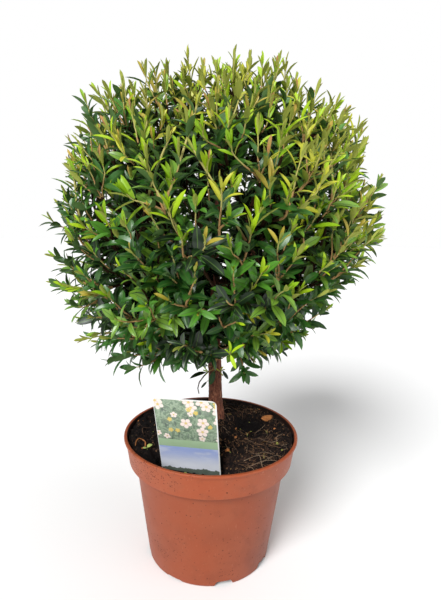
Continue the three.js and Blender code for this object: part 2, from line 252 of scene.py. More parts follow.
class Shaper(Graph):
    """A Geometry Nodes tree with named inputs, that ends in Realize Instances and Set Material."""

    def __init__(self, name, inputs):
        super().__init__(bpy.data.node_groups.new(name, "GeometryNodeTree"))
        face = self.tree.interface
        face.new_socket("Geometry", in_out="INPUT", socket_type="NodeSocketGeometry")
        for label, (kind, value) in inputs.items():
            socket = face.new_socket(label, in_out="INPUT", socket_type="NodeSocket" + kind)
            if value is not None:
                socket.default_value = value
        face.new_socket("Geometry", in_out="OUTPUT", socket_type="NodeSocketGeometry")
        self.entry = self.tree.nodes.new("NodeGroupInput")

    def given(self, label):
        return Signal(self, self.entry.outputs[label])

    def named(self, name, kind):
        return self.node("GeometryNodeInputNamedAttribute", {"data_type": kind}, {"Name": name})

    def is_number(self, value, number):
        settings = {"data_type": "INT", "operation": "EQUAL"}
        return self.node("FunctionNodeCompare", settings, {2: value, 3: number})

    def both(self, operation, one, other):
        """Boolean Math on two answers."""
        settings = {"operation": operation}
        return self.node("FunctionNodeBooleanMath", settings, {0: one, 1: other})

    def shape(self, label):
        """The mesh of the object that is given under a label."""
        inputs = {"Object": self.given(label)}
        return self.node("GeometryNodeObjectInfo", None, inputs, "Geometry")

    def circle(self):
        """A circle of radius 1 with the given number of sides."""
        inputs = {"Resolution": self.given("Sides"), "Radius": 1.0}
        return self.node("GeometryNodeCurvePrimitiveCircle", None, inputs)

    def tube(self, ring, girth):
        """The given path as a capped tube with a ring for its section."""
        curve = self.node("GeometryNodeMeshToCurve", None, {"Mesh": self.given("Geometry")})
        return self.node("GeometryNodeCurveToMesh", None, {
            "Curve": curve, "Profile Curve": ring, "Scale": girth, "Fill Caps": True,
        })

    def stored(self, geometry, name, value):
        """A geometry whose points keep a vector under a name."""
        inputs = {"Geometry": geometry, "Name": name, "Value": value}
        settings = {"data_type": "FLOAT_VECTOR"}
        return self.node("GeometryNodeStoreNamedAttribute", settings, inputs)

    def instances(self, points, label, turn, size, selection=True):
        """The object under a label, set on every chosen point."""
        return self.node("GeometryNodeInstanceOnPoints", None, {
            "Points": points, "Selection": selection, "Instance": self.shape(label),
            "Rotation": turn, "Scale": size,
        })

    def joined(self, parts):
        node = self.tree.nodes.new("GeometryNodeJoinGeometry")
        for part in parts:
            self.tree.links.new(part.socket, node.inputs[0])
        return Signal(self, node.outputs[0])

    def painted(self, geometry, material, selection=True):
        inputs = {"Geometry": geometry, "Selection": selection, "Material": material}
        return self.node("GeometryNodeSetMaterial", None, inputs)

    def realized(self, geometry):
        return self.node("GeometryNodeRealizeInstances", None, {"Geometry": geometry})

    def finish(self, geometry):
        leave = self.tree.nodes.new("NodeGroupOutput")
        self.tree.links.new(geometry.socket, leave.inputs[0])
        return self.tree


# ---- Meshes and pieces ----


def in_scene(name, data):
    """A new object of the scene, with its mesh, lamp or camera."""
    piece = bpy.data.objects.new(name, data)
    bpy.context.scene.collection.objects.link(piece)
    return piece


def mesh_object(name, vertices, edges=(), faces=()):
    mesh = bpy.data.meshes.new(name)
    mesh.from_pydata([tuple(map(float, v)) for v in vertices], list(edges), list(faces))
    mesh.update()
    return in_scene(name, mesh)


def ring_points(radius, z, count):
    """Points round a level circle about the pot's axis."""
    angles = [2 * math.pi * k / count for k in range(count)]
    return [(radius * math.cos(angle), radius * math.sin(angle), z) for angle in angles]


def ring_faces(rows, count, bottom, top):
    """Faces between rows of points round an axis, and fans to the middle points of the ends."""
    faces = []
    for k in range(count):
        after = (k + 1) % count
        faces.append((bottom, rows[0] + after, rows[0] + k))
        for a, b in zip(rows[:-1], rows[1:]):
            faces.append((a + k, a + after, b + after, b + k))
        faces.append((rows[-1] + k, rows[-1] + after, top))
    return faces


def turned_out(piece):
    """A closed piece with all its faces outwards."""
    shape = bmesh.new()
    shape.from_mesh(piece.data)
    bmesh.ops.recalc_face_normals(shape, faces=shape.faces)
    shape.to_mesh(piece.data)
    shape.free()
    return piece


def give(piece, name, kind, values, domain="POINT"):
    """Writes one value for each point or face of a piece, as a named attribute."""
    field = {"FLOAT_VECTOR": "vector"}.get(kind, "value")
    layer = piece.data.attributes.new(name, kind, domain)
    number = np.int32 if kind == "INT" else np.float32
    layer.data.foreach_set(field, np.asarray(values, number).ravel())


def trimmed(mesh, keep):
    """Drops the material slots that no face uses and the attributes that nothing reads."""
    numbers = np.zeros(len(mesh.polygons), np.int32)
    mesh.polygons.foreach_get("material_index", numbers)
    used, numbers = np.unique(numbers, return_inverse=True)
    materials = [mesh.materials[int(k)] for k in used]
    mesh.materials.clear()
    for material in materials:
        mesh.materials.append(material)
    mesh.polygons.foreach_set("material_index", numbers.astype(np.int32))
    wanted = ("material_index", "sharp_edge", "sharp_face", "UVMap", *keep)
    for title in [a.name for a in mesh.attributes if not a.is_internal and not a.is_required]:
        if title not in wanted:
            mesh.attributes.remove(mesh.attributes[title])


def worked_out(name, source, tree, values=None, keep=()):
    """What a tree makes of the source object, as a plain mesh object; the source goes."""
    modifier = source.modifiers.new(tree.name, "NODES")
    modifier.node_group = tree
    for item in tree.interface.items_tree:
        if item.item_type == "SOCKET" and item.in_out == "INPUT" and item.name in (values or {}):
            modifier[item.identifier] = values[item.name]
    bpy.context.view_layer.update()
    depsgraph = bpy.context.evaluated_depsgraph_get()
    result = source.evaluated_get(depsgraph)
    mesh = bpy.data.meshes.new_from_object(result, depsgraph=depsgraph)
    source.modifiers.remove(modifier)
    bpy.data.objects.remove(source)
    mesh.name = name
    trimmed(mesh, keep)
    return in_scene(name, mesh)


def smooth(piece, angle=None):
    """Smooth faces, with edges sharper than an angle in degrees left sharp."""
    piece.data.shade_smooth()
    if angle is not None:
        piece.data.set_sharp_from_angle(angle=math.radians(angle))


def settle(piece, slot, *nodes):
    """Fixes a finished piece to the plant, and hides the CAD nodes that it stands for."""
    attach(piece, "root")
    if nodes:
        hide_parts(*nodes)
    return piece


def node_points(name):
    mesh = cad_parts[name].data
    points = np.zeros(len(mesh.vertices) * 3)
    mesh.vertices.foreach_get("co", points)
    return points.reshape(-1, 3)


def node_triangles(name):
    """A CAD node's triangles, as an array of corners."""
    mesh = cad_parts[name].data
    mesh.calc_loop_triangles()
    corners = np.zeros(len(mesh.loop_triangles) * 3, int)
    mesh.loop_triangles.foreach_get("vertices", corners)
    return node_points(name)[corners].reshape(-1, 3, 3)


# ---- The limbs, read from the frame ----


def limb_axis(name, along, count, margin):
    """A limb's centre line and its radii, from slices across a direction."""
    triangles = node_triangles(name)
    ends = triangles.reshape(-1, 3)
    others = triangles[:, [1, 2, 0]].reshape(-1, 3)
    low, high = ends @ along, others @ along
    bottom, top = low.min(), low.max()
    spare = (top - bottom) * margin
    centres, radii = [], []
    for level in np.linspace(bottom + spare[0], top - spare[1], count):
        crossing = (low < level) & (high >= level)
        share = ((level - low[crossing]) / (high[crossing] - low[crossing]))[:, None]
        points = ends[crossing] + (others[crossing] - ends[crossing]) * share
        centre = points.mean(0)
        centres.append(centre)
        radii.append(np.linalg.norm(points - centre, axis=1).mean())
    return np.array(centres), np.array(radii)


def read_limbs():
    """Every limb's path and radii, from its foot to its tip."""
    limbs = {}
    for name in ("trunk", "leader"):
        centres, radii = limb_axis(name, UP, 14, np.array([0.01, 0.01]))
        limbs[name] = (smoothed(centres, 1), radii)
    stem = np.concatenate([limbs["trunk"][0], limbs["leader"][0]])
    for name in BOUGHS:
        points = node_points(name)
        middle = points.mean(0)
        away = unit((points - middle)[np.argmax(np.linalg.norm(points - middle, axis=1))])
        reach = points @ away
        tip, foot = points[np.argmax(reach)], points[np.argmin(reach)]
        from_stem = [np.linalg.norm(stem - end, axis=1).min() for end in (tip, foot)]
        along = away if from_stem[0] > from_stem[1] else -away
        centres, radii = limb_axis(name, along, 9, np.array([0.14, 0.02]))
        near = stem[np.argmin(np.linalg.norm(stem - centres[0], axis=1))]
        heading = unit(centres[0] - centres[1])
        seat = near + UP * min(0.0, float((centres[0] - near) @ UP)) * 0.5 + heading * 0.5 * MM
        centres = np.concatenate([[seat], centres])
        radii = np.concatenate([[radii[0] * 1.05], radii])
        limbs[name] = (smoothed(centres, 2), radii)
    return limbs


# ---- Settings ----


def number_of(name, description, value, lowest=0, **rest):
    return bpy.props.FloatProperty(
        name=name, description=description, default=value, min=lowest, **rest
    )


def length_of(name, description, value):
    return number_of(name, description, value, unit="LENGTH", precision=5)


def share_of(name, description, value, top=1.0):
    return number_of(name, description, value, max=top, subtype="FACTOR")


def angle_of(name, description, degrees):
    return number_of(name, description, math.radians(degrees), -math.pi, subtype="ANGLE")


def count_of(name, description, value, lowest=0):
    return bpy.props.IntProperty(name=name, description=description, default=value, min=lowest)


def colour_of(name, description, *display):
    return bpy.props.FloatVectorProperty(
        name=name, description=description, default=shown(*display), size=3, min=0, max=1,
        subtype="COLOR",
    )


class MYRTLE_PG_crown(bpy.types.PropertyGroup):
    seed: count_of("Seed", "Which of the possible crowns is grown", 77)
    spacing: length_of("Shoot Spacing", "How far apart the shoots end on the ball", 0.0171)
    leaf: length_of("Leaf Length", "A grown leaf's length", 0.0210)
    leaf_width: share_of("Leaf Width", "A grown leaf's width as a share of its length", 0.31)
    internode: length_of("Leaf Spacing", "How far apart the pairs of leaves sit on a shoot", 0.0081)
    leaders: count_of("Leaders", "Long stems that climb just under the leaves", 17)
    leafy: length_of("Leafy Depth", "How deep into the ball the leaves reach", 0.060)
    lift: share_of("Lift", "How strongly the shoots turn up", 0.95, 2.0)
    filling: share_of("Filling", "Shoots inside the ball for each one on its skin", 0.5)
    twig: length_of("Twig Radius", "A shoot's radius at its foot", 0.00085)
    # Painted shade: the inner leaves' near-black green stands in for the shade deep inside the ball.
    inner: colour_of("Inner Green", "The old leaves inside the ball", 8, 20, 5)
    leaf_0: colour_of("Deep Green", "The darkest grown leaves", 12, 38, 10)
    leaf_1: colour_of("Dark Green", "Most grown leaves", 30, 73, 21)
    leaf_2: colour_of("Leaf Green", "Lighter grown leaves", 48, 99, 31)
    leaf_3: colour_of("Fresh Green", "Leaves of this year", 76, 134, 38)
    leaf_4: colour_of("Olive Green", "Sunlit older leaves", 108, 148, 46)
    young_0: colour_of("Young Green", "Young leaves low on the ball", 132, 172, 20)
    young_1: colour_of("Spring Green", "Young leaves", 162, 194, 30)
    young_2: colour_of("Yellow Green", "Young leaves near the top", 184, 186, 54)
    young_3: colour_of("Young Olive", "Young leaves in the sun", 168, 154, 56)
    tip_0: colour_of("Bronze", "The newest leaves", 184, 158, 74)
    tip_1: colour_of("Red Bronze", "The newest leaves in the sun", 176, 134, 84)
    under: colour_of("Underside", "The paler back of a grown leaf", 90, 122, 68)
    young_under: colour_of("Young Underside", "The back of a young leaf", 162, 170, 78)
    rib: colour_of("Midrib", "The line along a grown leaf", 74, 106, 42)
    twig_old: colour_of("Old Twig", "Twigs with bark", 188, 150, 98)
    # Painted shade: the dark colour of twigs deep inside the ball, which is also the withered
    # shoot's own colour.
    twig_shade_and_withered: colour_of("Inner Twig", "Twigs deep inside the ball", 58, 40, 26)
    twig_young: colour_of("Young Twig", "This year's twigs", 186, 178, 104)


class MYRTLE_PG_bark(bpy.types.PropertyGroup):
    ridge: length_of("Ridge Depth", "How deep the bark's ridges are on the trunk", 0.0007)
    step: length_of("Step", "How fine the bark's mesh is along a limb", 0.0011)
    dark: colour_of("Dark Bark", "The bottom of the bark's furrows", 66, 34, 24)
    middle: colour_of("Bark", "Most of the bark", 132, 76, 54)
    pale: colour_of("Pale Bark", "The flakes of the bark", 178, 122, 90)


class MYRTLE_PG_pot(bpy.types.PropertyGroup):
    lip: length_of("Lip Width", "The rounded lip's width", 0.003)
    lip_height: length_of("Lip Height", "The rounded lip's height", 0.0026)
    collar: length_of("Collar Height", "The collar's height, lip included", 0.0245)
    wall: length_of("Wall", "The wall's thickness", 0.0013)
    floor: length_of("Floor", "The floor's thickness", 0.002)
    slots: count_of("Slots", "Drain slots round the foot", 8, 3)
    slot_turn: angle_of("Slot Turn", "Where the first slot is", 14)
    slot_height: length_of("Slot Height", "How high a slot is cut", 0.0055)
    plastic: colour_of("Plastic", "The pot's colour", 155, 70, 32)
    worn: colour_of("Worn Plastic", "Where the pot is chalky", 160, 83, 50)
    dirt: colour_of("Dirt", "Specks of compost on the wall", 92, 36, 20)
    chalk: colour_of("Scratches", "Fine pale scratches", 222, 170, 140)
    # Compost smudges on the inner wall, deepened as painted shade.
    inner_wall_soil_and_shade: colour_of("Smudges", "Compost rubbed on the inside", 36, 24, 20)


class MYRTLE_PG_compost(bpy.types.PropertyGroup):
    seed: count_of("Seed", "How crumbs and fibres fall", 5)
    crumb: length_of("Crumb Size", "A middling crumb's radius", 0.00085)
    crumbs: number_of("Crumbs", "Crumbs on a square metre", 120000)
    fibres: count_of("Fibres", "Fibres lying on the compost", 250)
    dry_leaves: count_of("Dry Leaves", "Fallen leaves on the compost", 9)
    hollow: length_of("Hollow", "How deep the compost is sunken before the label", 0.0195)
    piled: length_of("Piled Up", "How high the compost lies against the wall behind", 0.0045)
    dark: colour_of("Wet Compost", "The compost's darkest crumbs", 11, 6, 6)
    pale: colour_of("Dry Compost", "The compost's driest crumbs", 66, 47, 38)
    fibre: colour_of("Fibre", "Coir and old roots", 128, 94, 66)
    root: colour_of("Root", "Fresh roots", 164, 138, 112)
    chip: colour_of("Bark Chip", "Chips of bark in the compost", 208, 132, 72)
    moss: colour_of("Moss", "Bits of moss", 146, 146, 66)
    dry_leaf: colour_of("Dry Leaf", "Fallen leaves", 128, 96, 58)
    sprout: colour_of("Seedling", "A seedling in the compost", 172, 188, 104)


class MYRTLE_PG_label(bpy.types.PropertyGroup):
    turn: angle_of("Turn", "Which way the label faces", -10.2)
    lean: angle_of("Lean", "How far the label's top leans forward", 16.6)
    tilt: angle_of("Tilt", "How far the label leans to the side", 1.3)
    width: length_of("Width", "The label's width", 0.0557)
    face: length_of("Face Length", "How far down the print goes", 0.090)
    border: length_of("Border", "The white edge round the print", 0.0007)
    card: colour_of("Card", "The label's plastic", 240, 240, 236)
    band: colour_of("Band", "The plain stripe across the label", 158, 188, 144)
    sky: colour_of("Sky", "The top of the lower print", 156, 176, 232)
    haze: colour_of("Haze", "The pale foot of the sky", 230, 234, 244)
    hills: colour_of("Hills", "The foot of the lower print", 58, 46, 48)
    leaves: colour_of("Printed Leaves", "The greens of the upper print", 84, 112, 80)
    leaves_dark: colour_of("Printed Shade", "The darkest greens of the upper print", 50, 74, 54)
    leaves_pale: colour_of("Printed Light", "The palest greens of the upper print", 150, 170, 138)
    petals: colour_of("Printed Petals", "The flowers of the upper print", 240, 222, 212)
    petal_shade: colour_of("Petal Shade", "Between the printed petals", 204, 172, 158)
    stamens: colour_of("Printed Stamens", "The yellow in the flowers", 214, 190, 70)
    grit: colour_of("Grit", "Compost stuck to the label", 44, 32, 28)


class MYRTLE_PG_stage(bpy.types.PropertyGroup):
    lens: number_of("Lens", "The camera's focal length in millimetres", 27.676, 1)
    place: bpy.props.FloatVectorProperty(
        name="Camera", description="Where the camera stands", default=(0, -0.42974, 0.33338),
        size=3, subtype="TRANSLATION", unit="LENGTH",
    )
    pitch: angle_of("Pitch", "How far the camera looks down", 10.162)
    yaw: angle_of("Yaw", "How far the camera is turned to the right", 0.824)
    roll: angle_of("Roll", "How far the camera leans over", 1.397)
    surround: number_of("Surround", "The studio's even light", 0.12)
    mirrored: number_of("Mirrored Light", "How much brighter the studio is in a gloss", 0.15)
    backdrop: number_of("Backdrop", "How bright the plain backdrop is", 1.0)
    key: number_of("Key Light", "The soft light in front", 3.6)
    top: number_of("Top Light", "The soft light overhead", 0.8)


# ---- Bark ----


def bark_material(settings):
    """Fibrous bark whose strands run along the limb, read from the mesh's own grain."""
    material, graph, surface = shader("myrtle_bark")
    grain = graph.node("ShaderNodeAttribute", {"attribute_name": "grain"}, output=1)
    strands = graph.noise(grain, 3.2, 4, 0.6)
    patches = graph.noise(grain, 0.9, 2)
    fine = graph.noise(grain, 11, 2)
    tone = graph.mix(graph.band(strands, 0.34, 0.56), settings.dark, settings.middle)
    flakes = graph.band(strands * 0.6 + patches * 0.5, 0.58, 0.72)
    tone = graph.mix(flakes * 0.8, tone, settings.pale)
    tone = graph.mix(graph.band(fine, 0.6, 0.75) * 0.35, tone, settings.dark)
    normal = relief(graph, strands * 0.7 + fine * 0.3, 0.6 * MM)
    feed(graph, surface, Base_Color=tone, Roughness=0.72 + fine * 0.2, Normal=normal)
    return material


def bark_tree(material):
    """A path with girths made a tube whose skin is raised in strands along the limb."""
    tree = Shaper("Bark", {
        "Sides": ("Int", 32),
        "Ridge Depth": ("Float", 0.0006),
        "Strands": ("Float", 2.2),
        "Stretch": ("Float", 90.0),
    })
    ring = tree.stored(tree.circle(), "ring", tree.node("GeometryNodeInputPosition"))
    tube = tree.tube(ring, tree.named("girth", "FLOAT"))
    across_x, across_y, _ = tree.parts(tree.named("ring", "FLOAT_VECTOR"))
    stretch = tree.named("along", "FLOAT") * tree.given("Stretch")
    strands = tree.given("Strands")
    grain = tree.vector(across_x * strands, across_y * strands, stretch)
    tube = tree.stored(tube, "grain", grain)
    height = tree.noise(grain, 1.6, 4.0, 0.55) - 0.5
    knots = tree.noise(grain, 0.35, 1.0) - 0.5
    push = (height * 1.6 + knots * 1.2) * tree.given("Ridge Depth")
    offset = tree.vectors("SCALE", tree.node("GeometryNodeInputNormal"))
    tree.tree.links.new(push.socket, offset.socket.node.inputs["Scale"])
    raised = tree.node("GeometryNodeSetPosition", None, {"Geometry": tube, "Offset": offset})
    return tree.finish(tree.painted(tree.realized(raised), material))


def limb_piece(name, points, radii, tree, step, seed, values):
    """One limb's bark: its path finely stepped, with small knots, then worked out as a mesh."""
    rng = np.random.default_rng(seed)
    points, radii = resampled(points, radii, 6 * step)
    points, radii = resampled(smoothed(points, 2), smoothed(radii, 1), step)
    along = lengths_along(points)
    points = smoothed(points, 12)
    for _ in range(int(along[-1] / 0.028)):
        centre, height = rng.uniform(0.1, 0.9) * along[-1], rng.uniform(0.04, 0.13)
        radii = radii * (1 + height * np.exp(-(((along - centre) / 0.0026) ** 2)))
    path = mesh_object(name + "_path", points, [(k, k + 1) for k in range(len(points) - 1)])
    give(path, "girth", "FLOAT", radii)
    give(path, "along", "FLOAT", along + seed * 0.37)
    return worked_out(name, path, tree, values, keep=("grain",))


# The sides of a limb's mesh, its ridges' depth as a share of the setting, and its strands.
LIMB_BARK = {"trunk": (44, 1.4, 2.4), "leader": (26, 0.55, 2.0)}
BOUGH_BARK = (18, 0.35, 1.7)
SWELLING = 1.07


class MYRTLE_OT_limbs(bpy.types.Operator):
    """Grows bark with relief over the trunk, the leader and every bough"""

    bl_idname = "myrtle.limbs"
    bl_label = "Trunk and Boughs"

    def execute(self, context):
        settings = context.scene.myrtle_bark
        tree = bark_tree(bark_material(settings))
        for order, (name, (points, radii)) in enumerate(read_limbs().items()):
            sides, depth, strands = LIMB_BARK.get(name, BOUGH_BARK)
            if name == "trunk":
                foot = np.array([points[0][0], points[0][1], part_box(name)[0].z - 4 * MM])
                points = np.concatenate([[foot], points, [points[-1] + UP * 2 * MM]])
                radii = np.concatenate([[radii[0] * 1.06], radii, [radii[-1]]]) * SWELLING
            if name == "leader":
                points = np.concatenate([[points[0] - UP * 4 * MM], points])
                radii = np.concatenate([[radii[0] * 1.1], radii])
            values = {"Sides": sides, "Ridge Depth": settings.ridge * depth, "Strands": strands}
            piece = limb_piece("bark_" + name, points, radii, tree, settings.step, order, values)
            smooth(piece, 60)
            settle(piece, "bark", name)
        return {"FINISHED"}


# ---- Leaves ----

# Kinds of leaf: width, fold, curl along its length, twist, and how slim its base and its tip are.
LEAF_KINDS = [
    ("leaf_broad", 1.00, 0.22, 0.10, 0.05, 0.66, 0.72),
    ("leaf_narrow", 0.78, 0.34, 0.16, -0.10, 0.70, 0.84),
    ("leaf_curled", 0.90, 0.40, 0.32, 0.16, 0.66, 0.78),
    ("leaf_flat", 1.24, 0.14, 0.04, 0.02, 0.60, 0.62),
    ("young_open", 0.80, 0.36, -0.05, 0.06, 0.68, 0.74),
    ("young_curled", 0.68, 0.46, 0.14, -0.10, 0.72, 0.78),
    ("tip_narrow", 0.60, 0.50, -0.10, 0.04, 0.55, 0.45),
]
# The first four kinds are grown leaves, dealt out in these shares; then come two of young leaves
# and the newest of all.
GROWN_SHARES = (0.38, 0.27, 0.17, 0.18)
YOUNG, TIP = (4, 5), 6
UPPER_SIDE, UNDERSIDE, MIDRIB = 0, 1, 2
# A leaf's tint is a number: five greens, then the inner leaves' near-black one, painted shade, then
# four young greens and two bronzes.
GREENS, INNER_SHADE, FIRST_YOUNG, YOUNG_GREENS, FIRST_TIP, BRONZES = 5, 5, 6, 4, 10, 2
# How likely each green and each young green is, on the ball's shaded side and on its sunny one; the
# darker greens on the lower, shaded side are partly painted shade.
GREEN_ODDS = np.array([[0.22, 0.29, 0.25, 0.16, 0.08], [0.11, 0.15, 0.20, 0.23, 0.31]])
YOUNG_ODDS = np.array([[0.42, 0.40, 0.10, 0.08], [0.15, 0.33, 0.32, 0.20]])
# The sprigs on the stem under the ball. Each has the height where it leaves the stem and the
# place of its end, in millimetres, its leaves' kind and colour, and then each leaf's bearing in
# degrees, round from the right as seen from the front, and its length in millimetres.
SPRIGS = [
    (222, (13, -94, 232), 4, 7, [(100, 12), (36, 16), (-66, 12), (140, 6)]),
    (183, (-4, 2, 184), 6, 7, [(134, 9), (155, 8), (225, 5)]),
    (183, (7, 2, 185), 6, 8, [(60, 9), (22, 8), (-50, 6), (135, 5)]),
    (183, (2, 6, 185), 3, 1, [(-106, 14)]),
    (180, (-5, 16, 179), 1, 0, [(190, 21)]),
    (170, (-5, 15, 170), 1, 0, [(226, 11)]),
    (194, (18, 6, 202), 0, 0, [(-19, 25)]),
    (180, (10, 18, 181), 0, 0, [(-54, 11)]),
    (222, (-3, -6, 227), 3, 2, [(-70, 17)]),
    (206, (-3, 2, 212), 1, 0, [(178, 22)]),
    (201, (-14, 0, 207), 1, 0, [(-45, 18)]),
    (184, (-4, 14, 186), 0, 0, [(158, 18)]),
]
# Which way the ball's sunny side faces: up, and a little to the right.
SUNNY_SIDE = np.array([0.20, 0.0, 0.98])
# The sides where the ball is fuller or, below zero, slighter than its masses, and by how much.
FULLER = [
    ((-0.92, -0.1, 0.38), 0.003),
    ((-0.72, -0.1, -0.69), 0.017),
    ((-0.38, -0.1, 0.92), 0.007),
    ((0.68, -0.1, 0.72), 0.007),
    ((0.84, -0.1, -0.53), 0.002),
    ((-0.36, -0.2, -0.91), -0.004),
]
# A withered shoot that hangs beside the stem, and the pale one that climbs in front of it.
WITHERED = [(-2, 22, 180), (-9, 13, 176), (-14, 11, 170), (-15, 10, 164), (-13, 9, 159)]
CLIMBING = [(0, 21, 177), (1, 16, 186), (5, 16, 196), (8, 20, 206)]
# How a limb forks, and then how each of its forks does: how many shoots one fork carries, how far
# short of them it stops, from where on the limb it may start, and how much of the way it goes.
FORKS = [(22, 0.052, 0.45, 0.72), (4.5, 0.030, 0.3, 0.9)]
# No shoot ends low and near the stem: the middle and half widths of that space, and its top.
STEM_SPACE, STEM_REACH, STEM_TOP = np.array([0.004, -0.010]), np.array([0.024, 0.070]), 0.222
# Between these depths under the ball's skin, the leaves go over to the old ones inside, whose
# near-black green is mostly painted shade.
SKIN, SHADE = 0.008, 0.026
# Twigs deeper than this inside the ball take the dark twig colour, as painted shade.
TWIG_SHADE_DEPTH = 0.034
TWIG_POINTS = 9


def leaf_object(name, width, fold, curl, twist, base, tip):
    """A leaf one unit long, lying along +X with its upper side up: a closed, thin, folded blade."""
    stations = np.array([0.0, 0.09, 0.22, 0.42, 0.64, 0.84, 1.0])
    stalk, stalk_half, thickness, rib_half = 0.07, 0.018, 0.012, 0.012
    blade = np.clip((stations - stalk) / (1 - stalk), 0, 1)
    widest = base / (base + tip)
    half = blade**base * (1 - blade) ** tip / (widest**base * (1 - widest) ** tip) * width / 2
    half = np.maximum(half, np.where(stations < 0.1, stalk_half, 0))
    points, rows = [], []
    for t, reach in zip(stations, half):
        sag = -curl * t * t + 0.06 * math.sin(3 * t)
        forward = t - 0.25 * abs(curl) * t**3
        first = len(points)
        if t in (0.0, 1.0):
            rows.append([first])
            points.append((forward, 0, sag))
            continue
        rib = min(rib_half, reach * 0.5)
        turn = twist * t
        edge = fold * reach
        section = [(-reach, edge), (-rib, 0.0), (rib, 0.0), (reach, edge), (0.0, -thickness)]
        for across, up in section:
            y = across * math.cos(turn) - up * math.sin(turn)
            z = across * math.sin(turn) + up * math.cos(turn) + sag
            points.append((forward, y, z))
        rows.append([first + k for k in range(len(section))])
    strips = (UPPER_SIDE, MIDRIB, UPPER_SIDE, UNDERSIDE, UNDERSIDE)
    faces, sides, rims = [], [], set()
    for back, front in zip(rows[:-1], rows[1:]):
        for edge in (0, 3):
            rims.add(frozenset((back[min(edge, len(back) - 1)], front[min(edge, len(front) - 1)])))
        for left, side in enumerate(strips):
            right = (left + 1) % len(strips)
            if len(back) == 1:
                face = (front[right], front[left], back[0])
            elif len(front) == 1:
                face = (back[right], back[left], front[0])
            else:
                face = (front[left], front[right], back[right], back[left])
            faces.append(face)
            sides.append(side)
    piece = mesh_object(name, points, (), faces)
    give(piece, "side", "INT", sides, "FACE")
    smooth(piece)
    for edge in piece.data.edges:
        edge.use_edge_sharp = frozenset(edge.vertices) in rims
    return piece


def leaf_materials(settings):
    """The leaves' colours: upper sides by tint, then the undersides and the midrib."""

    def family(title, field, count, roughness, specular):
        colours = [getattr(settings, f"{field}_{k}") for k in range(count)]
        return [plain(f"{title}_{k}", c, roughness, specular) for k, c in enumerate(colours)]

    tints = family("leaf_green", "leaf", GREENS, 0.34, 0.6)
    # Painted shade: the inner leaves, near-black and with little gloss.
    tints.append(plain("leaf_inner", settings.inner, 0.7, 0.12))
    tints += family("young_green", "young", YOUNG_GREENS, 0.42, 0.4)
    tints += family("tip_bronze", "tip", BRONZES, 0.55, 0.25)
    backs = [
        plain("leaf_underside", settings.under, 0.65, 0.2),
        plain("young_underside", settings.young_under, 0.65, 0.2),
    ]
    return tints, backs, plain("leaf_midrib", settings.rib, 0.5)


def spray_tree(kinds, tints, backs, rib):
    """Points that carry a leaf's turn, size, kind and tint, made leaves of those kinds."""
    inputs = {"Size": ("Float", 1.0), "Uneven": ("Float", 0.12), "Seed": ("Int", 3)}
    inputs.update({piece.name: ("Object", None) for piece in kinds})
    tree = Shaper("Leaf Sprays", inputs)
    kind, turn = tree.named("kind", "INT"), tree.named("turn", "QUATERNION")
    uneven = tree.node("FunctionNodeRandomValue", {"data_type": "FLOAT"}, {
        2: 1 - tree.given("Uneven"), 3: 1 + tree.given("Uneven"), "Seed": tree.given("Seed"),
    }, 1)
    size = tree.named("size", "FLOAT") * tree.given("Size") * uneven
    layers = []
    for number, piece in enumerate(kinds):
        chosen = tree.is_number(kind, number)
        layers.append(tree.instances(tree.given("Geometry"), piece.name, turn, size, chosen))
    leaves = tree.realized(tree.joined(layers))
    tint, side = tree.named("tint", "INT"), tree.named("side", "INT")
    for number, material in enumerate(tints):
        leaves = tree.painted(leaves, material, tree.is_number(tint, number))
    is_under, is_rib = tree.is_number(side, UNDERSIDE), tree.is_number(side, MIDRIB)
    above = {"data_type": "INT", "operation": "GREATER_THAN"}
    young = tree.node("FunctionNodeCompare", above, {2: tint, 3: INNER_SHADE})
    young_under = tree.both("AND", young, is_under)
    grown_rib = tree.both("NIMPLY", is_rib, young)
    leaves = tree.painted(leaves, backs[0], is_under)
    leaves = tree.painted(leaves, backs[1], young_under)
    leaves = tree.painted(leaves, rib, grown_rib)
    return tree.finish(leaves)


def twig_tree(old, young, shaded=None):
    """Chains of edges with girths made thin tubes, the newest green and the inmost dark: painted
    shade deep in the ball, and the withered shoot's own dark.
    """
    tree = Shaper("Twigs", {"Sides": ("Int", 5), "Thickness": ("Float", 1.0)})
    tube = tree.tube(tree.circle(), tree.named("girth", "FLOAT") * tree.given("Thickness"))
    green = tree.named("green", "FLOAT")
    twigs = tree.painted(tree.realized(tube), old)
    # The shaded material: painted shade on twigs deep in the ball, and the withered shoot's own
    # dark.
    if shaded:
        twigs = tree.painted(twigs, shaded, green < -0.5)
    return tree.finish(tree.painted(twigs, young, green > 0.5))


# ---- The crown ----


class Growth:
    """Twigs and leaves of one foliage mass, gathered as numbers before they are made meshes."""

    def __init__(self):
        self.twigs = []
        self.leaves = []

    def add_twig(self, points, radii, green):
        self.twigs.append((points, radii, green))

    def add_leaf(self, place, axis, normal, size, kind, tint):
        normal = unit(normal - axis * float(normal @ axis))
        across = np.cross(normal, axis)
        turn = Matrix(np.stack([axis, across, normal], 1).tolist()).to_quaternion()
        self.leaves.append((place, tuple(turn), size, kind, tint))


def groups_of(points, count, rng):
    """Splits points into so many groups of near neighbours."""
    count = min(count, len(points))
    centres = points[rng.choice(len(points), count, replace=False)]
    for _ in range(7):
        nearest = np.linalg.norm(points[:, None] - centres[None], axis=2).argmin(1)
        centres = np.array([
            points[nearest == k].mean(0) if (nearest == k).any() else centres[k]
            for k in range(count)
        ])
    return [np.flatnonzero(nearest == k) for k in range(count) if (nearest == k).any()]


def fork_place(points, target, angle, lowest):
    """The last point of a limb from which the target still lies within an angle of its heading."""
    headings = unit(np.gradient(points, axis=0))
    towards = unit(target - points)
    turn = np.degrees(np.arccos(np.clip((headings * towards).sum(1), -1, 1)))
    start = int(lowest * (len(points) - 1))
    within = np.flatnonzero(turn[start:] <= angle)
    return start + (int(within[-1]) if len(within) else int(turn[start:].argmin()))


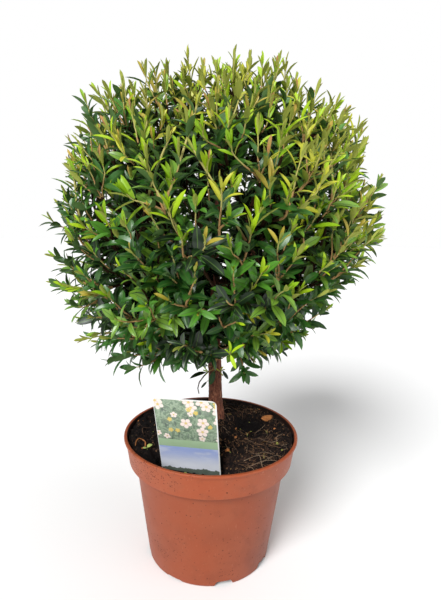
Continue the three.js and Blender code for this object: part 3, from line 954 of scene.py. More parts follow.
class Ball:
    """The rule by which the ball is grown: sites on its skin, and limbs that fork towards them."""

    def __init__(self, settings):
        self.settings = settings
        self.rng = np.random.default_rng(settings.seed)
        self.tints = np.random.default_rng(settings.seed + 1)
        corners = np.concatenate([node_points(name) for name in MASSES])
        self.centre = (corners.min(0) + corners.max(0)) / 2
        self.radius = float((corners.max(0) - corners.min(0))[0] / 2)

    def radial(self, point):
        return unit(point - self.centre)

    def height(self, point):
        """How high on the ball a point lies, from -1 to 1."""
        return float((point[2] - self.centre[2]) / self.radius)

    def depth(self, point):
        """How far a point lies under the skin of the ball, which isn't quite round."""
        nearest = int((self.skin_ways @ self.radial(point)).argmax())
        return float(self.skin_reach[nearest] - np.linalg.norm(point - self.centre))

    def sun(self, point):
        """How far a point lies to the ball's sunny side, its top right, from -1 to 1."""
        return float((point - self.centre) @ SUNNY_SIDE / self.radius)

    def sites(self):
        """Places on the outer faces of the masses where shoots end, spread evenly."""
        rng, settings = self.rng, self.settings
        places, owners = [], []
        for number, name in enumerate(MASSES):
            triangles = node_triangles(name)
            normals = np.cross(triangles[:, 1] - triangles[:, 0], triangles[:, 2] - triangles[:, 0])
            area = np.linalg.norm(normals, axis=1) / 2
            middle = triangles.mean(1)
            outward = (unit(normals) * unit(middle - self.centre)).sum(1)
            distance = np.linalg.norm(middle - self.centre, axis=1)
            area = area * (outward > 0.25) * (distance > 0.68 * self.radius)
            count = int(area.sum() / settings.spacing**2 * 9)
            chosen = rng.choice(len(area), count, p=area / area.sum())
            a, b = rng.random((2, count, 1))
            flip = a + b > 1
            a, b = np.where(flip, 1 - a, a), np.where(flip, 1 - b, b)
            corner = triangles[chosen]
            edge, other_edge = corner[:, 1] - corner[:, 0], corner[:, 2] - corner[:, 0]
            places.append(corner[:, 0] + a * edge + b * other_edge)
            owners.append(np.full(count, number))
        places, owners = np.concatenate(places), np.concatenate(owners)
        by_stem = (((places[:, :2] - STEM_SPACE) / STEM_REACH) ** 2).sum(1) < 1
        free = ~(by_stem & (places[:, 2] < STEM_TOP))
        places, owners = places[free], owners[free]
        kept = []
        for k in rng.permutation(len(places)):
            height = self.height(places[k])
            apart = settings.spacing * (1.02 - 0.2 * smoothstep(0.1, 0.9, height))
            if not kept or np.linalg.norm(places[kept] - places[k], axis=1).min() > apart:
                kept.append(k)
        places, owners = places[kept], owners[kept]
        inner = rng.random(len(kept)) < settings.filling
        deeper = rng.uniform(0.02, 0.062, (inner.sum(), 1))
        pulled = places[inner] - self.radial(places[inner]) * deeper
        self.skin_ways = self.radial(places)
        self.skin_reach = np.linalg.norm(places - self.centre, axis=1)
        return np.concatenate([places, pulled]), np.concatenate([owners, owners[inner]])

    def greenness(self, path, green=0.0):
        """How green a twig is along its length, with -1 where it lies deep inside the ball, for the
        dark twig colour painted there as shade.
        """
        depth = self.radius - np.linalg.norm(path - self.centre, axis=1)
        return np.where(depth > TWIG_SHADE_DEPTH, -1.0, green)

    def heading(self, place, loose=0.0):
        """Which way a shoot points where it ends: out of the ball and up, or level underneath."""
        height = self.height(place)
        out = self.radial(place) * np.array([0.8, 0.8, 0.8 if height > 0 else 0.35])
        lift = self.settings.lift * (0.16 + smoothstep(-0.75, 0.2, height))
        return unit(out + UP * lift + self.rng.normal(size=3) * loose)

    def youth(self, place):
        """How much of a shoot's end is this year's growth, from 0 to 1."""
        patch = lumps(place[None], 0.11, 77)[0]
        sunny = 0.12 + 0.74 * smoothstep(-0.55, 0.8, self.sun(place)) + 0.16 * patch
        shaded = smoothstep(SKIN, SHADE, self.depth(place))
        return float(np.clip(sunny + self.rng.normal() * 0.16, 0, 1)) * (1 - shaded)

    def bent(self, foot, along, end, arriving):
        """A twig's path from its foot to its end, with small kinks that grow along it."""
        path = bezier(foot, along, end, arriving, TWIG_POINTS)
        kinks = self.rng.normal(size=path.shape) * 0.3 * MM
        return path + kinks * np.linspace(0, 1, TWIG_POINTS)[:, None]

    def grow(self, growth, limb, places, level):
        """Grows a limb on towards its sites: it forks, and each fork grows on in turn."""
        rng, settings = self.rng, self.settings
        points, radii = limb
        carried, short, lowest, share = FORKS[level]
        for members in groups_of(places, max(1, round(len(places) / carried)), rng):
            group = places[members]
            middle = group.mean(0)
            heading = self.heading(middle)
            aim = middle - heading * short
            start = fork_place(points, aim, rng.uniform(30, 48), lowest)
            foot = points[start]
            along = unit(np.gradient(points, axis=0))[start]
            towards = unit(aim - foot)
            hub = foot + (aim - foot) * share
            path = self.bent(foot, unit(along + towards), hub, unit(heading + towards))
            thick = settings.twig * len(group) ** 0.33 * 1.1
            girth = np.linspace(min(thick, radii[start] * 0.9), thick * 0.75, TWIG_POINTS)
            growth.add_twig(path, girth, self.greenness(path))
            tint = self.deal_tint(middle)
            self.leaf_pairs(growth, path, 0, tint, ends=False)
            if level == 0:
                self.grow(growth, (path, girth), group, 1)
            else:
                self.shoots(growth, path, group, tint)

    def overshoot(self, place, direction):
        """How far past its site a shoot ends: most stop short, and a few stand out boldly."""
        radial = self.radial(place)
        height = self.height(place)
        loose = 0.013 + 0.010 * smoothstep(0.3, -0.7, height)
        bold = 0.006 * (self.rng.random() < 0.16)
        leaning = 0.008 * float(direction @ radial)
        reach = bold - loose * self.rng.random() ** 1.4 - leaning - 0.0024
        reach -= 0.003 * smoothstep(0.5, 0.9, height) + 0.006 * smoothstep(-0.66, -0.9, height)
        for side, further in FULLER:
            reach += further * smoothstep(0.76, 0.97, float(radial @ unit(side)))
        return reach

    def shoots(self, growth, points, places, tint):
        """The last twigs: one to each site, the straightest of them from the limb's very end."""
        rng, settings = self.rng, self.settings
        last = len(points) - 1
        end_heading = unit(points[-1] - points[-2])
        leading = int((unit(places - points[-1]) @ end_heading).argmax())
        share = np.linspace(0, 1, TWIG_POINTS)
        for number, place in enumerate(places):
            direction = self.heading(place, 0.2)
            tip = place + self.radial(place) * self.overshoot(place, direction)
            start = last if number == leading else fork_place(points, tip, rng.uniform(25, 48), 0.2)
            along = unit(np.gradient(points, axis=0))[start]
            foot = points[start]
            path = self.bent(foot, unit(along + 0.9 * unit(tip - foot)), tip, direction)
            young = self.youth(place)
            girth = np.linspace(settings.twig, settings.twig * 0.55, TWIG_POINTS)
            green = share > 1 - 0.15 - 0.5 * young
            growth.add_twig(path, girth, self.greenness(path, green))
            own = self.deal_tint(place) if rng.random() < 0.45 or tint == INNER_SHADE else tint
            self.leaf_pairs(growth, path, young, own, ends=True)

    def leaders(self, growth, limbs):
        """Long bare stems that climb just under the leaves, each from the nearest limb."""
        rng, count = self.rng, self.settings.leaders
        points = np.concatenate([limb[0] for name, limb in limbs.items() if name != "trunk"])
        for number in range(count):
            bearing = 2 * math.pi * (number + rng.uniform(-0.5, 0.5)) / count
            low, sweep = rng.uniform(-0.75, -0.05), rng.normal() * 0.45
            climb = []
            for t in np.linspace(0, 1, 6):
                rise = low + t * rng.uniform(0.7, 1.0)
                turn = bearing + sweep * t + rng.normal() * 0.03
                level = math.cos(rise)
                out = np.array([math.cos(turn) * level, math.sin(turn) * level, math.sin(rise)])
                climb.append(self.centre + out * self.radius * (0.72 + 0.16 * t))
            foot = points[int(np.linalg.norm(points - climb[0], axis=1).argmin())]
            way = smoothed(np.array([foot, (foot + climb[0]) / 2, *climb]), 2)
            path, girth = resampled(way, np.linspace(1.5 * MM, 0.8 * MM, len(way)), 6 * MM)
            growth.add_twig(path, girth, self.greenness(path, np.linspace(0, 1, len(path)) > 0.6))
            leafy = path[len(path) // 2:]
            self.leaf_pairs(growth, leafy, 0.4, self.deal_tint(path[-1]), ends=True)

    def sprigs(self, growth, points):
        """Short shoots on the stem under the ball, some of them new growth."""
        for height, end, kind, tint, leaves in SPRIGS:
            foot = points[int(np.abs(points[:, 2] - height * MM).argmin())]
            end = np.array(end) * MM
            away = unit(end - foot)
            path = bezier(foot, unit(away - UP * 0.4), end, away, 7)
            growth.add_twig(path, np.linspace(0.7 * MM, 0.4 * MM, 7), 0.0)
            for bearing, size in leaves:
                angle = math.radians(bearing)
                axis = unit([math.cos(angle), -0.3, math.sin(angle)])
                normal = np.array([0.1, -0.7, 0.7]) + self.rng.normal(size=3) * 0.15
                growth.add_leaf(end, axis, normal, size * MM, kind, tint)
        for places, radius, green in ((WITHERED, 0.8 * MM, -1.0), (CLIMBING, 1.2 * MM, 0.0)):
            path = smoothed(np.array(places) * MM, 1)
            growth.add_twig(path, np.linspace(radius, radius * 0.6, len(path)), green)

    def deal(self, odds, sun):
        """One of several tints, from their odds in the shade and in the sun."""
        mixed = (1 - sun) * odds[0] + sun * odds[1]
        return int(self.tints.choice(len(mixed), p=mixed / mixed.sum()))

    def deal_tint(self, place):
        """A spray's green: darker and deeper low down, partly as painted shade, near-black inside as
        painted shade, and fresher near the top.
        """
        if self.tints.random() < smoothstep(SKIN, SHADE, self.depth(place)):
            return INNER_SHADE
        return self.deal(GREEN_ODDS, smoothstep(-0.6, 0.9, self.sun(place)))

    def young_tint(self, place):
        return FIRST_YOUNG + self.deal(YOUNG_ODDS, smoothstep(-0.3, 0.8, self.sun(place)))

    def leaf_pairs(self, growth, path, young, tint, ends):
        """Pairs of leaves along a twig, each turned a quarter from the last, smaller at its tip."""
        rng, settings = self.rng, self.settings
        along = lengths_along(path)
        total = along[-1]
        headings = unit(np.gradient(path, axis=0))
        side = unit(np.cross(headings[-1], rng.normal(size=3)))
        turn = rng.uniform(0, math.pi)
        young_pairs = int(round(young * 5 + rng.uniform(-0.5, 0.5))) if ends else 0
        young_tint = self.young_tint(path[-1])
        back, pair = (0.0008 if ends else rng.uniform(0.002, 0.006)), 0
        while back < total:
            where = total - back
            place = at(where, along, path)
            depth = self.radius - np.linalg.norm(place - self.centre)
            older = pair if ends else pair + 5
            chance = 0.97 if older < 5 else 0.66 - 0.5 * smoothstep(0.6, 1.4, depth / settings.leafy)
            heading = unit(at(where, along, headings))
            side = unit(side - heading * float(side @ heading))
            other = np.cross(heading, side)
            azimuth = turn + pair * math.pi / 2 + rng.normal() * 0.22
            for flip in (1, -1):
                if rng.random() > chance:
                    continue
                out = (side * math.cos(azimuth) + other * math.sin(azimuth)) * flip
                self.one_leaf(growth, place, heading, out, older, young_pairs, tint, young_tint)
            step = settings.internode * (0.36 + 0.64 * smoothstep(-0.5, 2.5, older))
            back += step * rng.uniform(0.85, 1.2)
            pair += 1

    def one_leaf(self, growth, place, heading, out, older, young_pairs, tint, young_tint):
        """One leaf of a pair, and how far it stands off: the newest are nearly upright."""
        rng, settings = self.rng, self.settings
        height = self.height(place)
        open_angle = math.radians(15 + 43 * smoothstep(-0.5, 3.5, older) + rng.normal() * 9)
        axis = unit(heading * math.cos(open_angle) + out * math.sin(open_angle))
        droop = 0.42 * smoothstep(0, 3, older) * smoothstep(-0.2, -0.9, height) - 0.04
        axis = unit(axis - UP * droop + rng.normal(size=3) * 0.10)
        light = unit(UP * 0.75 + self.radial(place) * 0.65)
        upward = unit(heading - axis * float(heading @ axis))
        normal = upward + 0.75 * light + rng.normal(size=3) * 0.22
        is_young = older < young_pairs
        if is_young and older < 1 + (height > 0.25):
            kind = TIP
        elif is_young:
            kind = YOUNG[int(rng.random() < 0.4)]
        else:
            kind = int(rng.choice(len(GROWN_SHARES), p=GROWN_SHARES))
        grown = (0.62, 0.76, 0.9, 1.0)[min(older, 3)]
        size = settings.leaf * grown * rng.uniform(0.78, 1.14)
        if is_young:
            size *= 1 - 0.12 * smoothstep(0.1, 0.7, height)
            newest = older == 0 and height > 0.2 and rng.random() < 0.5
            shade = FIRST_TIP + int(rng.random() < 0.4) if newest else young_tint
        else:
            shade = tint
        growth.add_leaf(place, axis, normal, size, kind, shade)


def limb_for(mass, limbs):
    """The limb that a mass grows on: its own bough, or the leader's top for the crest."""
    name = mass.replace("foliage_", "bough_")
    points, radii = limbs.get(name, limbs["leader"])
    points, radii = resampled(points, radii, 0.004)
    if name not in limbs:
        above = points[:, 2] > points[-1, 2] - 0.07
        points, radii = points[above], radii[above]
    return points, radii


def points_piece(name, leaves):
    """A mesh of nothing but points, each with what a leaf needs."""
    places, *fields = zip(*leaves)
    piece = mesh_object(name, places)
    kinds = {"turn": "QUATERNION", "size": "FLOAT", "kind": "INT", "tint": "INT"}
    for (field, kind), values in zip(kinds.items(), fields):
        give(piece, field, kind, values)
    return piece


def chains_piece(name, twigs):
    """A mesh of one open chain of edges for each twig, with its girth and how green it is."""
    points = np.concatenate([twig[0] for twig in twigs])
    edges, start = [], 0
    for path, _, _ in twigs:
        edges += [(start + k, start + k + 1) for k in range(len(path) - 1)]
        start += len(path)
    piece = mesh_object(name, points, edges)
    give(piece, "girth", "FLOAT", np.concatenate([twig[1] for twig in twigs]))
    green = [np.broadcast_to(twig[2], len(twig[0])) for twig in twigs]
    give(piece, "green", "FLOAT", np.concatenate(green))
    return piece


def sprays(name, leaves, tree, values, slot, *nodes):
    """Leaves that were gathered as numbers made a finished piece."""
    piece = worked_out(name, points_piece(name + "_points", leaves), tree, values)
    settle(piece, slot, *nodes)


def tubes(name, chains, tree, slot, *nodes, sides=5):
    """Chains of edges made a finished piece of thin tubes."""
    piece = worked_out(name, chains_piece(name + "_chains", chains), tree, {"Sides": sides})
    smooth(piece)
    settle(piece, slot, *nodes)


class MYRTLE_OT_crown(bpy.types.Operator):
    """Grows twigs and leaves in place of every foliage mass"""

    bl_idname = "myrtle.crown"
    bl_label = "Twigs and Leaves"

    def execute(self, context):
        settings = context.scene.myrtle_crown
        crown = Ball(settings)
        limbs = read_limbs()
        share = settings.leaf_width
        kinds = [leaf_object(name, width * share, *rest) for name, width, *rest in LEAF_KINDS]
        leaves = spray_tree(kinds, *leaf_materials(settings))
        twigs = twig_tree(
            plain("twig_bark", settings.twig_old, 0.75, 0.3),
            plain("twig_green", settings.twig_young, 0.6, 0.4),
            plain("twig_shaded", settings.twig_shade_and_withered, 0.8, 0.1),
        )
        values = {piece.name: piece for piece in kinds}
        places, owners = crown.sites()
        for number, mass in enumerate(MASSES):
            growth = Growth()
            crown.grow(growth, limb_for(mass, limbs), places[owners == number], 0)
            part = mass.replace("foliage_", "")
            grown = [leaf for leaf in growth.leaves if leaf[4] <= INNER_SHADE]
            young = [leaf for leaf in growth.leaves if leaf[4] > INNER_SHADE]
            values["Seed"] = number
            sprays("leaves_" + part, grown, leaves, values, "foliage", mass)
            sprays("young_leaves_" + part, young, leaves, values, "young_foliage", mass)
            tubes("twigs_" + part, growth.twigs, twigs, "bark", mass)
        growth = Growth()
        crown.sprigs(growth, limbs["trunk"][0])
        crown.leaders(growth, limbs)
        sprays("sprig_leaves", growth.leaves, leaves, values, "young_foliage")
        tubes("sprig_twigs", growth.twigs, twigs, "bark")
        for piece in kinds:
            bpy.data.objects.remove(piece)
        return {"FINISHED"}


# ---- Pot ----

# The room inside the collar: its radius at the foot, and how much it widens for each step up.
COLLAR_ROOM, COLLAR_SLOPE = 78.6 * MM, 0.13


def dirt_specks(graph, place, dirtier):
    """Ragged specks of three sizes, more of them where the wall is dirtier."""
    specks = 0
    for scale, size, seed in ((520, 0.42, 0.0), (800, 0.50, 0.3), (300, 0.26, 0.7)):
        shifted = graph.vectors("ADD", place, (seed, seed, seed))
        ragged = graph.noise(shifted, scale, 2.0, output="Color")
        bent = graph.vectors("ADD", shifted, graph.vectors("MULTIPLY", ragged, (1.2 * MM,) * 3))
        chosen = graph.parts(graph.cells(bent, scale, "Color"))[0] > 0.988 - dirtier * 0.26
        away = graph.cells(bent, scale, "Distance")
        specks = chosen * (1 - graph.band(away, size * 0.5, size)) + specks
    return graph.maths("MINIMUM", specks, 1.0)


def pot_material(settings):
    """Moulded terracotta plastic: a soft gloss, chalky patches, specks of dirt on the left, painted
    shade on the body below the collar, and compost smudges with painted shade on the inner wall.
    """
    material, graph, surface = shader("terracotta_plastic")
    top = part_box("pot")[1].z
    foot = top - settings.collar
    place = graph.place()
    x, y, z = graph.parts(place)
    broad = graph.noise(place, 22, 3)
    blotch = graph.noise(place, 70, 4, 0.6)
    grain = graph.noise(place, 900, 2)
    chalky = graph.band(broad * 0.6 + blotch * 0.4, 0.42, 0.62)
    tone = graph.mix(chalky * 0.9, settings.plastic, settings.worn)
    dark = tuple(c * 0.66 for c in settings.plastic)
    tone = graph.mix(graph.band(blotch, 0.50, 0.74) * 0.6, tone, dark)
    mottled = graph.band(graph.noise(place, 150, 5, 0.75), 0.48, 0.72)
    tone = graph.mix(mottled * 0.3, tone, settings.worn)
    # Painted shade: the body below the collar is darkened, and darker still in patches towards the
    # bottom.
    body = graph.band(z, foot + 0.5 * MM, foot - 2.5 * MM)
    darker_low_patches = graph.band(graph.noise(place, 26, 4), 0.46, 0.7) * graph.band(z, 90 * MM, 30 * MM)
    tone = graph.mix(body * (0.48 + darker_low_patches * 0.5), tone, dark)

    left = graph.band(x, 0.0, -45 * MM)
    near = graph.band(y, 20 * MM, -30 * MM)
    high = graph.band(z, foot - 1.5 * MM, foot + 11.5 * MM)
    low = graph.band(z, 75 * MM, 30 * MM)
    dirty = left * near * (high + low * 0.6) + low * 0.15
    specks = dirt_specks(graph, place, dirty * graph.band(graph.noise(place, 48, 3), 0.42, 0.62))
    tone = graph.mix(specks * 0.9, tone, settings.dirt)
    drawn_out = graph.vectors("MULTIPLY", place, (1.0, 1.0, 0.18))
    lines = graph.band(graph.noise(drawn_out, 900, 1), 0.70, 0.74)
    right = graph.band(x, 30 * MM, 45 * MM) * graph.band(z, foot + 1.5 * MM, foot + 5.5 * MM)
    tone = graph.mix(lines * (right * 0.8 + 0.06), tone, settings.chalk)

    # The inner wall under the rim: compost smudges, with painted shade that darkens them further
    # down, towards the back and to the left.
    away = graph.vectors("LENGTH", graph.vectors("MULTIPLY", place, (1, 1, 0)))
    within = (z - foot) * COLLAR_SLOPE + (COLLAR_ROOM + 0.9 * MM) - away
    inside = graph.band(z, foot - 0.5 * MM, foot + 5.5 * MM) * graph.band(z, top, top - 0.6 * MM)
    inside = inside * graph.band(within, -0.3 * MM, 0.3 * MM)
    shaded = graph.band(y, -30 * MM, 40 * MM) * 0.2 + graph.band(x, 20 * MM, -50 * MM) * 0.2
    soiled_and_shaded = graph.band(z, top - 1.5 * MM, top - 6 * MM) * 0.3 + shaded
    smudge_and_shade = graph.band(graph.noise(place, 120, 4, 0.7) + soiled_and_shaded, 0.44, 0.58)
    tone = graph.mix(inside * smudge_and_shade, tone, settings.inner_wall_soil_and_shade)
    rough = 0.42 + blotch * 0.16 + specks * 0.3
    feed(graph, surface, Base_Color=tone, Roughness=rough, Specular_IOR_Level=0.45)
    feed(graph, surface, Normal=relief(graph, grain * 0.6 + blotch * 0.8 + specks * 0.6, 0.12 * MM))
    return material


def rounded(profile, cuts):
    """A profile with some corners cut back and rounded; cuts gives each corner's radius."""
    points = []
    for k, (corner, radius) in enumerate(zip(profile, cuts)):
        corner = np.array(corner, float)
        if radius == 0:
            points.append(corner)
            continue
        before, after = np.array(profile[k - 1]), np.array(profile[k + 1])
        start = corner + unit(before - corner) * radius
        end = corner + unit(after - corner) * radius
        for t in np.linspace(0, 1, 6):
            points.append((1 - t) ** 2 * start + 2 * t * (1 - t) * corner + t * t * end)
    return np.array(points)


def spun(name, profile, segments):
    """A closed shape turned from a profile that starts and ends on the axis."""
    points, rows = [(0, 0, profile[0][1])], []
    for radius, z in profile[1:-1]:
        rows.append(len(points))
        points += ring_points(radius, z, segments)
    points.append((0, 0, profile[-1][1]))
    return mesh_object(name, points, (), ring_faces(rows, segments, 0, len(points) - 1))


def slot_tree(material):
    """A pot with drain slots cut round its foot, one of them shallow."""
    tree = Shaper("Foot Slots", {
        "Cutter": ("Object", None), "Count": ("Int", 8), "Turn": ("Float", 0.0),
        "Shallow": ("Int", 7),
    })
    inputs = {"Count": tree.given("Count"), "Offset": (0.0, 0.0, 0.0)}
    line = tree.node("GeometryNodeMeshLine", None, inputs)
    points = tree.node("GeometryNodeMeshToPoints", None, {"Mesh": line})
    number = tree.node("GeometryNodeInputIndex")
    angle = tree.given("Turn") + number * (2 * math.pi) / tree.given("Count")
    turn = tree.node("FunctionNodeAxisAngleToRotation", None, {"Axis": (0, 0, 1), "Angle": angle})
    tall = 1 - tree.is_number(number, tree.given("Shallow")) * 0.6
    cutters = tree.instances(points, "Cutter", turn, tree.vector(1, 1, tall))
    cut = tree.node("GeometryNodeMeshBoolean", {"operation": "DIFFERENCE", "solver": "EXACT"}, {
        "Mesh 1": tree.given("Geometry"), "Mesh 2": tree.realized(cutters),
    })
    return tree.finish(tree.painted(tree.realized(cut), material))


def pot_profile(settings):
    """The pot's half outline, up the outside and down the inside, with rounded corners."""
    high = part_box("pot")[1]
    height, rim = high.z, high.x
    collar_foot = height - settings.collar
    body_top, base = rim - 11.2 * MM, rim - 24.5 * MM
    collar_low, collar_high = rim - 4.9 * MM, rim - 1.7 * MM
    wall, lip = settings.wall, settings.lip_height

    def body(z):
        return base + (body_top - base) * z / collar_foot

    def collar(z):
        return collar_low + (collar_high - collar_low) * (z - collar_foot) / (settings.collar - lip)

    shelf, under_lip, floor = collar_foot + wall, height - lip, settings.floor
    # Each corner's radius from the axis, its height, and how far it is cut back in millimetres.
    corners = [
        (0, 0, 0), (base - 9 * MM, 0, 0), (base - 7 * MM, 0.35 * MM, 0), (base - 5 * MM, 0, 0),
        (base, 0, 2.2), (body(24 * MM), 24 * MM, 0), (body(70 * MM), 70 * MM, 0),
        (body_top, collar_foot, 0.5), (collar_low, collar_foot, 0.4),
        (collar(under_lip), under_lip, 0.5), (rim, under_lip, 0.7), (rim, height, 1.0),
        (rim - settings.lip, height, 1.0), (collar(under_lip) - wall, under_lip - 1 * MM, 0.6),
        (collar(shelf) - wall, shelf, 0.5), (body(shelf) - wall, shelf, 0.6),
        (body(60 * MM) - wall, 60 * MM, 0), (body(floor) - wall, floor, 1.2), (0, floor, 0),
    ]
    profile = [corner[:2] for corner in corners]
    return base, rounded(profile, [corner[2] * MM for corner in corners])


def slot_cutter(base, tall):
    """A wedge that cuts a slot narrowing upwards through the pot's wall, on the -Y side."""
    top, foot = 6.5 * MM, 10 * MM
    outline = [(-foot, -1 * MM), (foot, -1 * MM), (top, tall), (-top, tall)]
    inner, outer = base - 11 * MM, base + 6 * MM
    corners = [(x, -inner, z) for x, z in outline] + [(x, -outer, z) for x, z in outline]
    sides = [(0, 1, 2, 3), (7, 6, 5, 4), (0, 3, 7, 4), (1, 5, 6, 2), (2, 6, 7, 3), (0, 4, 5, 1)]
    return turned_out(mesh_object("slot_cutter", corners, (), sides))


class MYRTLE_OT_pot(bpy.types.Operator):
    """Turns the pot from its profile and cuts the drain slots in its foot"""

    bl_idname = "myrtle.pot"
    bl_label = "Pot"

    def execute(self, context):
        settings = context.scene.myrtle_pot
        base, profile = pot_profile(settings)
        shell = spun("pot_shell", profile, 192)
        cutter = slot_cutter(base, settings.slot_height)
        tree = slot_tree(pot_material(settings))
        values = {"Cutter": cutter, "Count": settings.slots, "Turn": settings.slot_turn}
        pot = worked_out("nursery_pot", shell, tree, values)
        bpy.data.objects.remove(cutter)
        smooth(pot, 32)
        settle(pot, "pot", "pot")
        return {"FINISHED"}


# ---- Compost ----

SECTORS, RINGS = 260, 110
# Where the label goes into the compost: its left end, and which way it runs and faces away.
LABEL_END = np.array([-46, -34]) * MM
LABEL_WAY, LABEL_BACK = np.array([0.989, -0.151]), np.array([0.151, 0.989])
# The pit is a dip in the compost, and its darkness is painted shade in the compost's material.
PIT = np.array([39, 26]) * MM  # the middle of a dark hollow behind, on the right


def compost_material(name, settings, scale):
    """Peaty compost: wet dark crumbs, drier and more fibrous ones on the right, and painted shade in
    the pit, which keeps only the darkest tone.
    """
    material, graph, surface = shader(name)
    place = graph.place()
    crumbs = graph.noise(place, scale, 4, 0.65)
    patches = graph.noise(place, scale / 12, 2)
    fine = graph.noise(place, scale * 4, 2)
    clumps = graph.noise(place, scale / 5, 3, 0.6)
    right = graph.band(graph.parts(place)[0] + patches * 0.03, -5 * MM, 55 * MM)
    level = graph.vectors("MULTIPLY", place, (1, 1, 0))
    # Painted shade: in the pit the compost keeps only its wettest, darkest tone, without dry crumbs
    # or fibres.
    outside_pit_shade = graph.band(graph.vectors("DISTANCE", level, (*PIT, 0)), 12 * MM, 24 * MM)
    dry = graph.band(crumbs * 0.7 + patches * 0.3 + right * 0.08, 0.50, 0.70)
    dry = dry * (0.2 + graph.band(clumps, 0.42, 0.58) * 0.8) * outside_pit_shade
    tone = graph.mix(dry, settings.dark, settings.pale)
    chance = graph.parts(graph.cells(place, scale * 2.2, "Color"))[0]
    bits = graph.band(chance + right * 0.05, 0.985, 1.0) * outside_pit_shade
    tone = graph.mix(bits * 0.7, tone, settings.fibre)
    rough = 0.86 + fine * 0.12
    normal = relief(graph, crumbs * 0.7 + fine * 0.3, 0.9 * MM)
    feed(graph, surface, Base_Color=tone, Roughness=rough, Specular_IOR_Level=0.2, Normal=normal)
    return material


def speckled(name, colour, scale, roughness=0.8):
    """A small thing's material: its colour, paler and darker in fine patches."""
    material, graph, surface = shader(name)
    place = graph.place()
    patches = graph.noise(place, scale, 3)
    dark = tuple(c * 0.55 for c in colour)
    tone = graph.mix(graph.band(patches, 0.35, 0.65), dark, colour)
    normal = relief(graph, patches, 0.3 * MM)
    feed(graph, surface, Base_Color=tone, Roughness=roughness, Normal=normal)
    return material


def surface_of(piece):
    """A piece's faces, for a line to meet."""
    corners = [vertex.co for vertex in piece.data.vertices]
    return BVHTree.FromPolygons(corners, [tuple(face.vertices) for face in piece.data.polygons])


def crumb_tree(material, title="Crumbs"):
    """Crumbs or chips scattered over the upward faces of the compost."""
    tree = Shaper(title, {
        "Crumb": ("Object", None), "Density": ("Float", 200000.0), "Size": ("Float", 0.001),
        "Seed": ("Int", 5),
    })
    normal = tree.node("GeometryNodeInputNormal")
    upward = tree.parts(normal)[2] > 0.3
    scatter = tree.node("GeometryNodeDistributePointsOnFaces", {"distribute_method": "RANDOM"}, {
        "Mesh": tree.given("Geometry"), "Selection": upward, "Density": tree.given("Density"),
        "Seed": tree.given("Seed"),
    })
    turn = tree.node("FunctionNodeRandomValue", {"data_type": "FLOAT_VECTOR"}, {
        0: (0, 0, 0), 1: (6.28, 6.28, 6.28), "Seed": 1,
    })
    inputs = {2: 0.0, 3: 1.0, "Seed": 2}
    lot = tree.node("FunctionNodeRandomValue", {"data_type": "FLOAT"}, inputs, 1)
    size = (0.35 + lot**3 * 2.2) * tree.given("Size")
    crumbs = tree.instances(scatter, "Crumb", turn, size)
    return tree.finish(tree.painted(tree.realized(crumbs), material))


def lumpy_ball(name, seed, squash=1.0, rounds=1):
    """A small uneven stone or crumb, one unit across its radius."""
    shape = bmesh.new()
    bmesh.ops.create_icosphere(shape, subdivisions=rounds, radius=1)
    rng = np.random.default_rng(seed)
    for vertex in shape.verts:
        vertex.co *= rng.uniform(0.72, 1.2)
        vertex.co.z *= squash
    mesh = bpy.data.meshes.new(name)
    shape.to_mesh(mesh)
    shape.free()
    return in_scene(name, mesh)


def scattered(name, ground, crumb, tree, density, size, seed):
    """Crumbs scattered over a copy of the compost's mesh, as a finished piece."""
    source = in_scene(name + "_ground", ground.data.copy())
    values = {"Crumb": crumb, "Density": density, "Size": size, "Seed": seed}
    piece = worked_out(name, source, tree, values)
    bpy.data.objects.remove(crumb)
    settle(piece, "compost")


def straight_down(surface, x, y):
    """The height at which a line from above meets a surface, or the compost's greatest."""
    hit = surface.ray_cast(Vector((x, y, 0.2)), Vector((0, 0, -1)))[0]
    return hit.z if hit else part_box("compost")[1].z


def bed_grid(middle, edge):
    """The compost's smooth top, from its rim in to the stem: places, and heights over them."""
    surface = surface_of(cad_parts["compost"])
    rim = np.array(ring_points(edge, 0, SECTORS))[:, :2]
    flat = middle + (rim - middle) * (1 - np.arange(RINGS) / RINGS)[:, None, None]
    heights = np.array([[straight_down(surface, *(spot * 0.995)) for spot in row] for row in flat])
    for _ in range(6):
        around = (np.roll(heights, 1, 1) + np.roll(heights, -1, 1)) / 2
        inner = heights.copy()
        inner[1:-1] = (heights[:-2] + heights[2:]) / 2
        heights = (heights * 2 + around + inner) / 4
    return flat, heights


def shaped_bed(settings, flat, heights, middle, edge):
    """The top sunken before the label, piled up behind, mounded at the stem, and lumpy."""
    from_label = flat - LABEL_END
    along, behind = from_label @ LABEL_WAY, from_label @ LABEL_BACK
    sunk = smoothstep(11 * MM, 4 * MM, behind) * smoothstep(-13 * MM, 2 * MM, along)
    sunk = sunk * smoothstep(74 * MM, 56 * MM, along)
    away = np.linalg.norm(flat, axis=-1)
    piled = smoothstep(0.72, 1.0, away / edge) * smoothstep(-55 * MM, -10 * MM, flat[..., 1])
    heights = heights - settings.hollow * sunk + settings.piled * piled
    for place, rise in ((middle, 3 * MM), (PIT, -8 * MM)):
        near = np.linalg.norm(flat - place, axis=-1)
        heights = heights + rise * np.exp(-((near / (14 * MM)) ** 2))
    spots = np.concatenate([flat.reshape(-1, 2), np.zeros((RINGS * SECTORS, 1))], 1)
    rough = sum(
        depth * lumps(spots, wave * MM, seed)
        for depth, wave, seed in ((0.9, 13, 1), (0.55, 5.5, 2), (0.3, 2.6, 3))
    )
    heights = heights + rough.reshape(RINGS, SECTORS) * 1.3 * MM
    # The sunken part keeps inside the collar, which narrows downwards, and above its shelf.
    heights = np.where(away > 70 * MM, np.maximum(heights, 103.1 * MM), heights)
    room = COLLAR_ROOM + (heights - 100.5 * MM) * COLLAR_SLOPE
    return flat * np.minimum(1, room / away)[..., None], heights


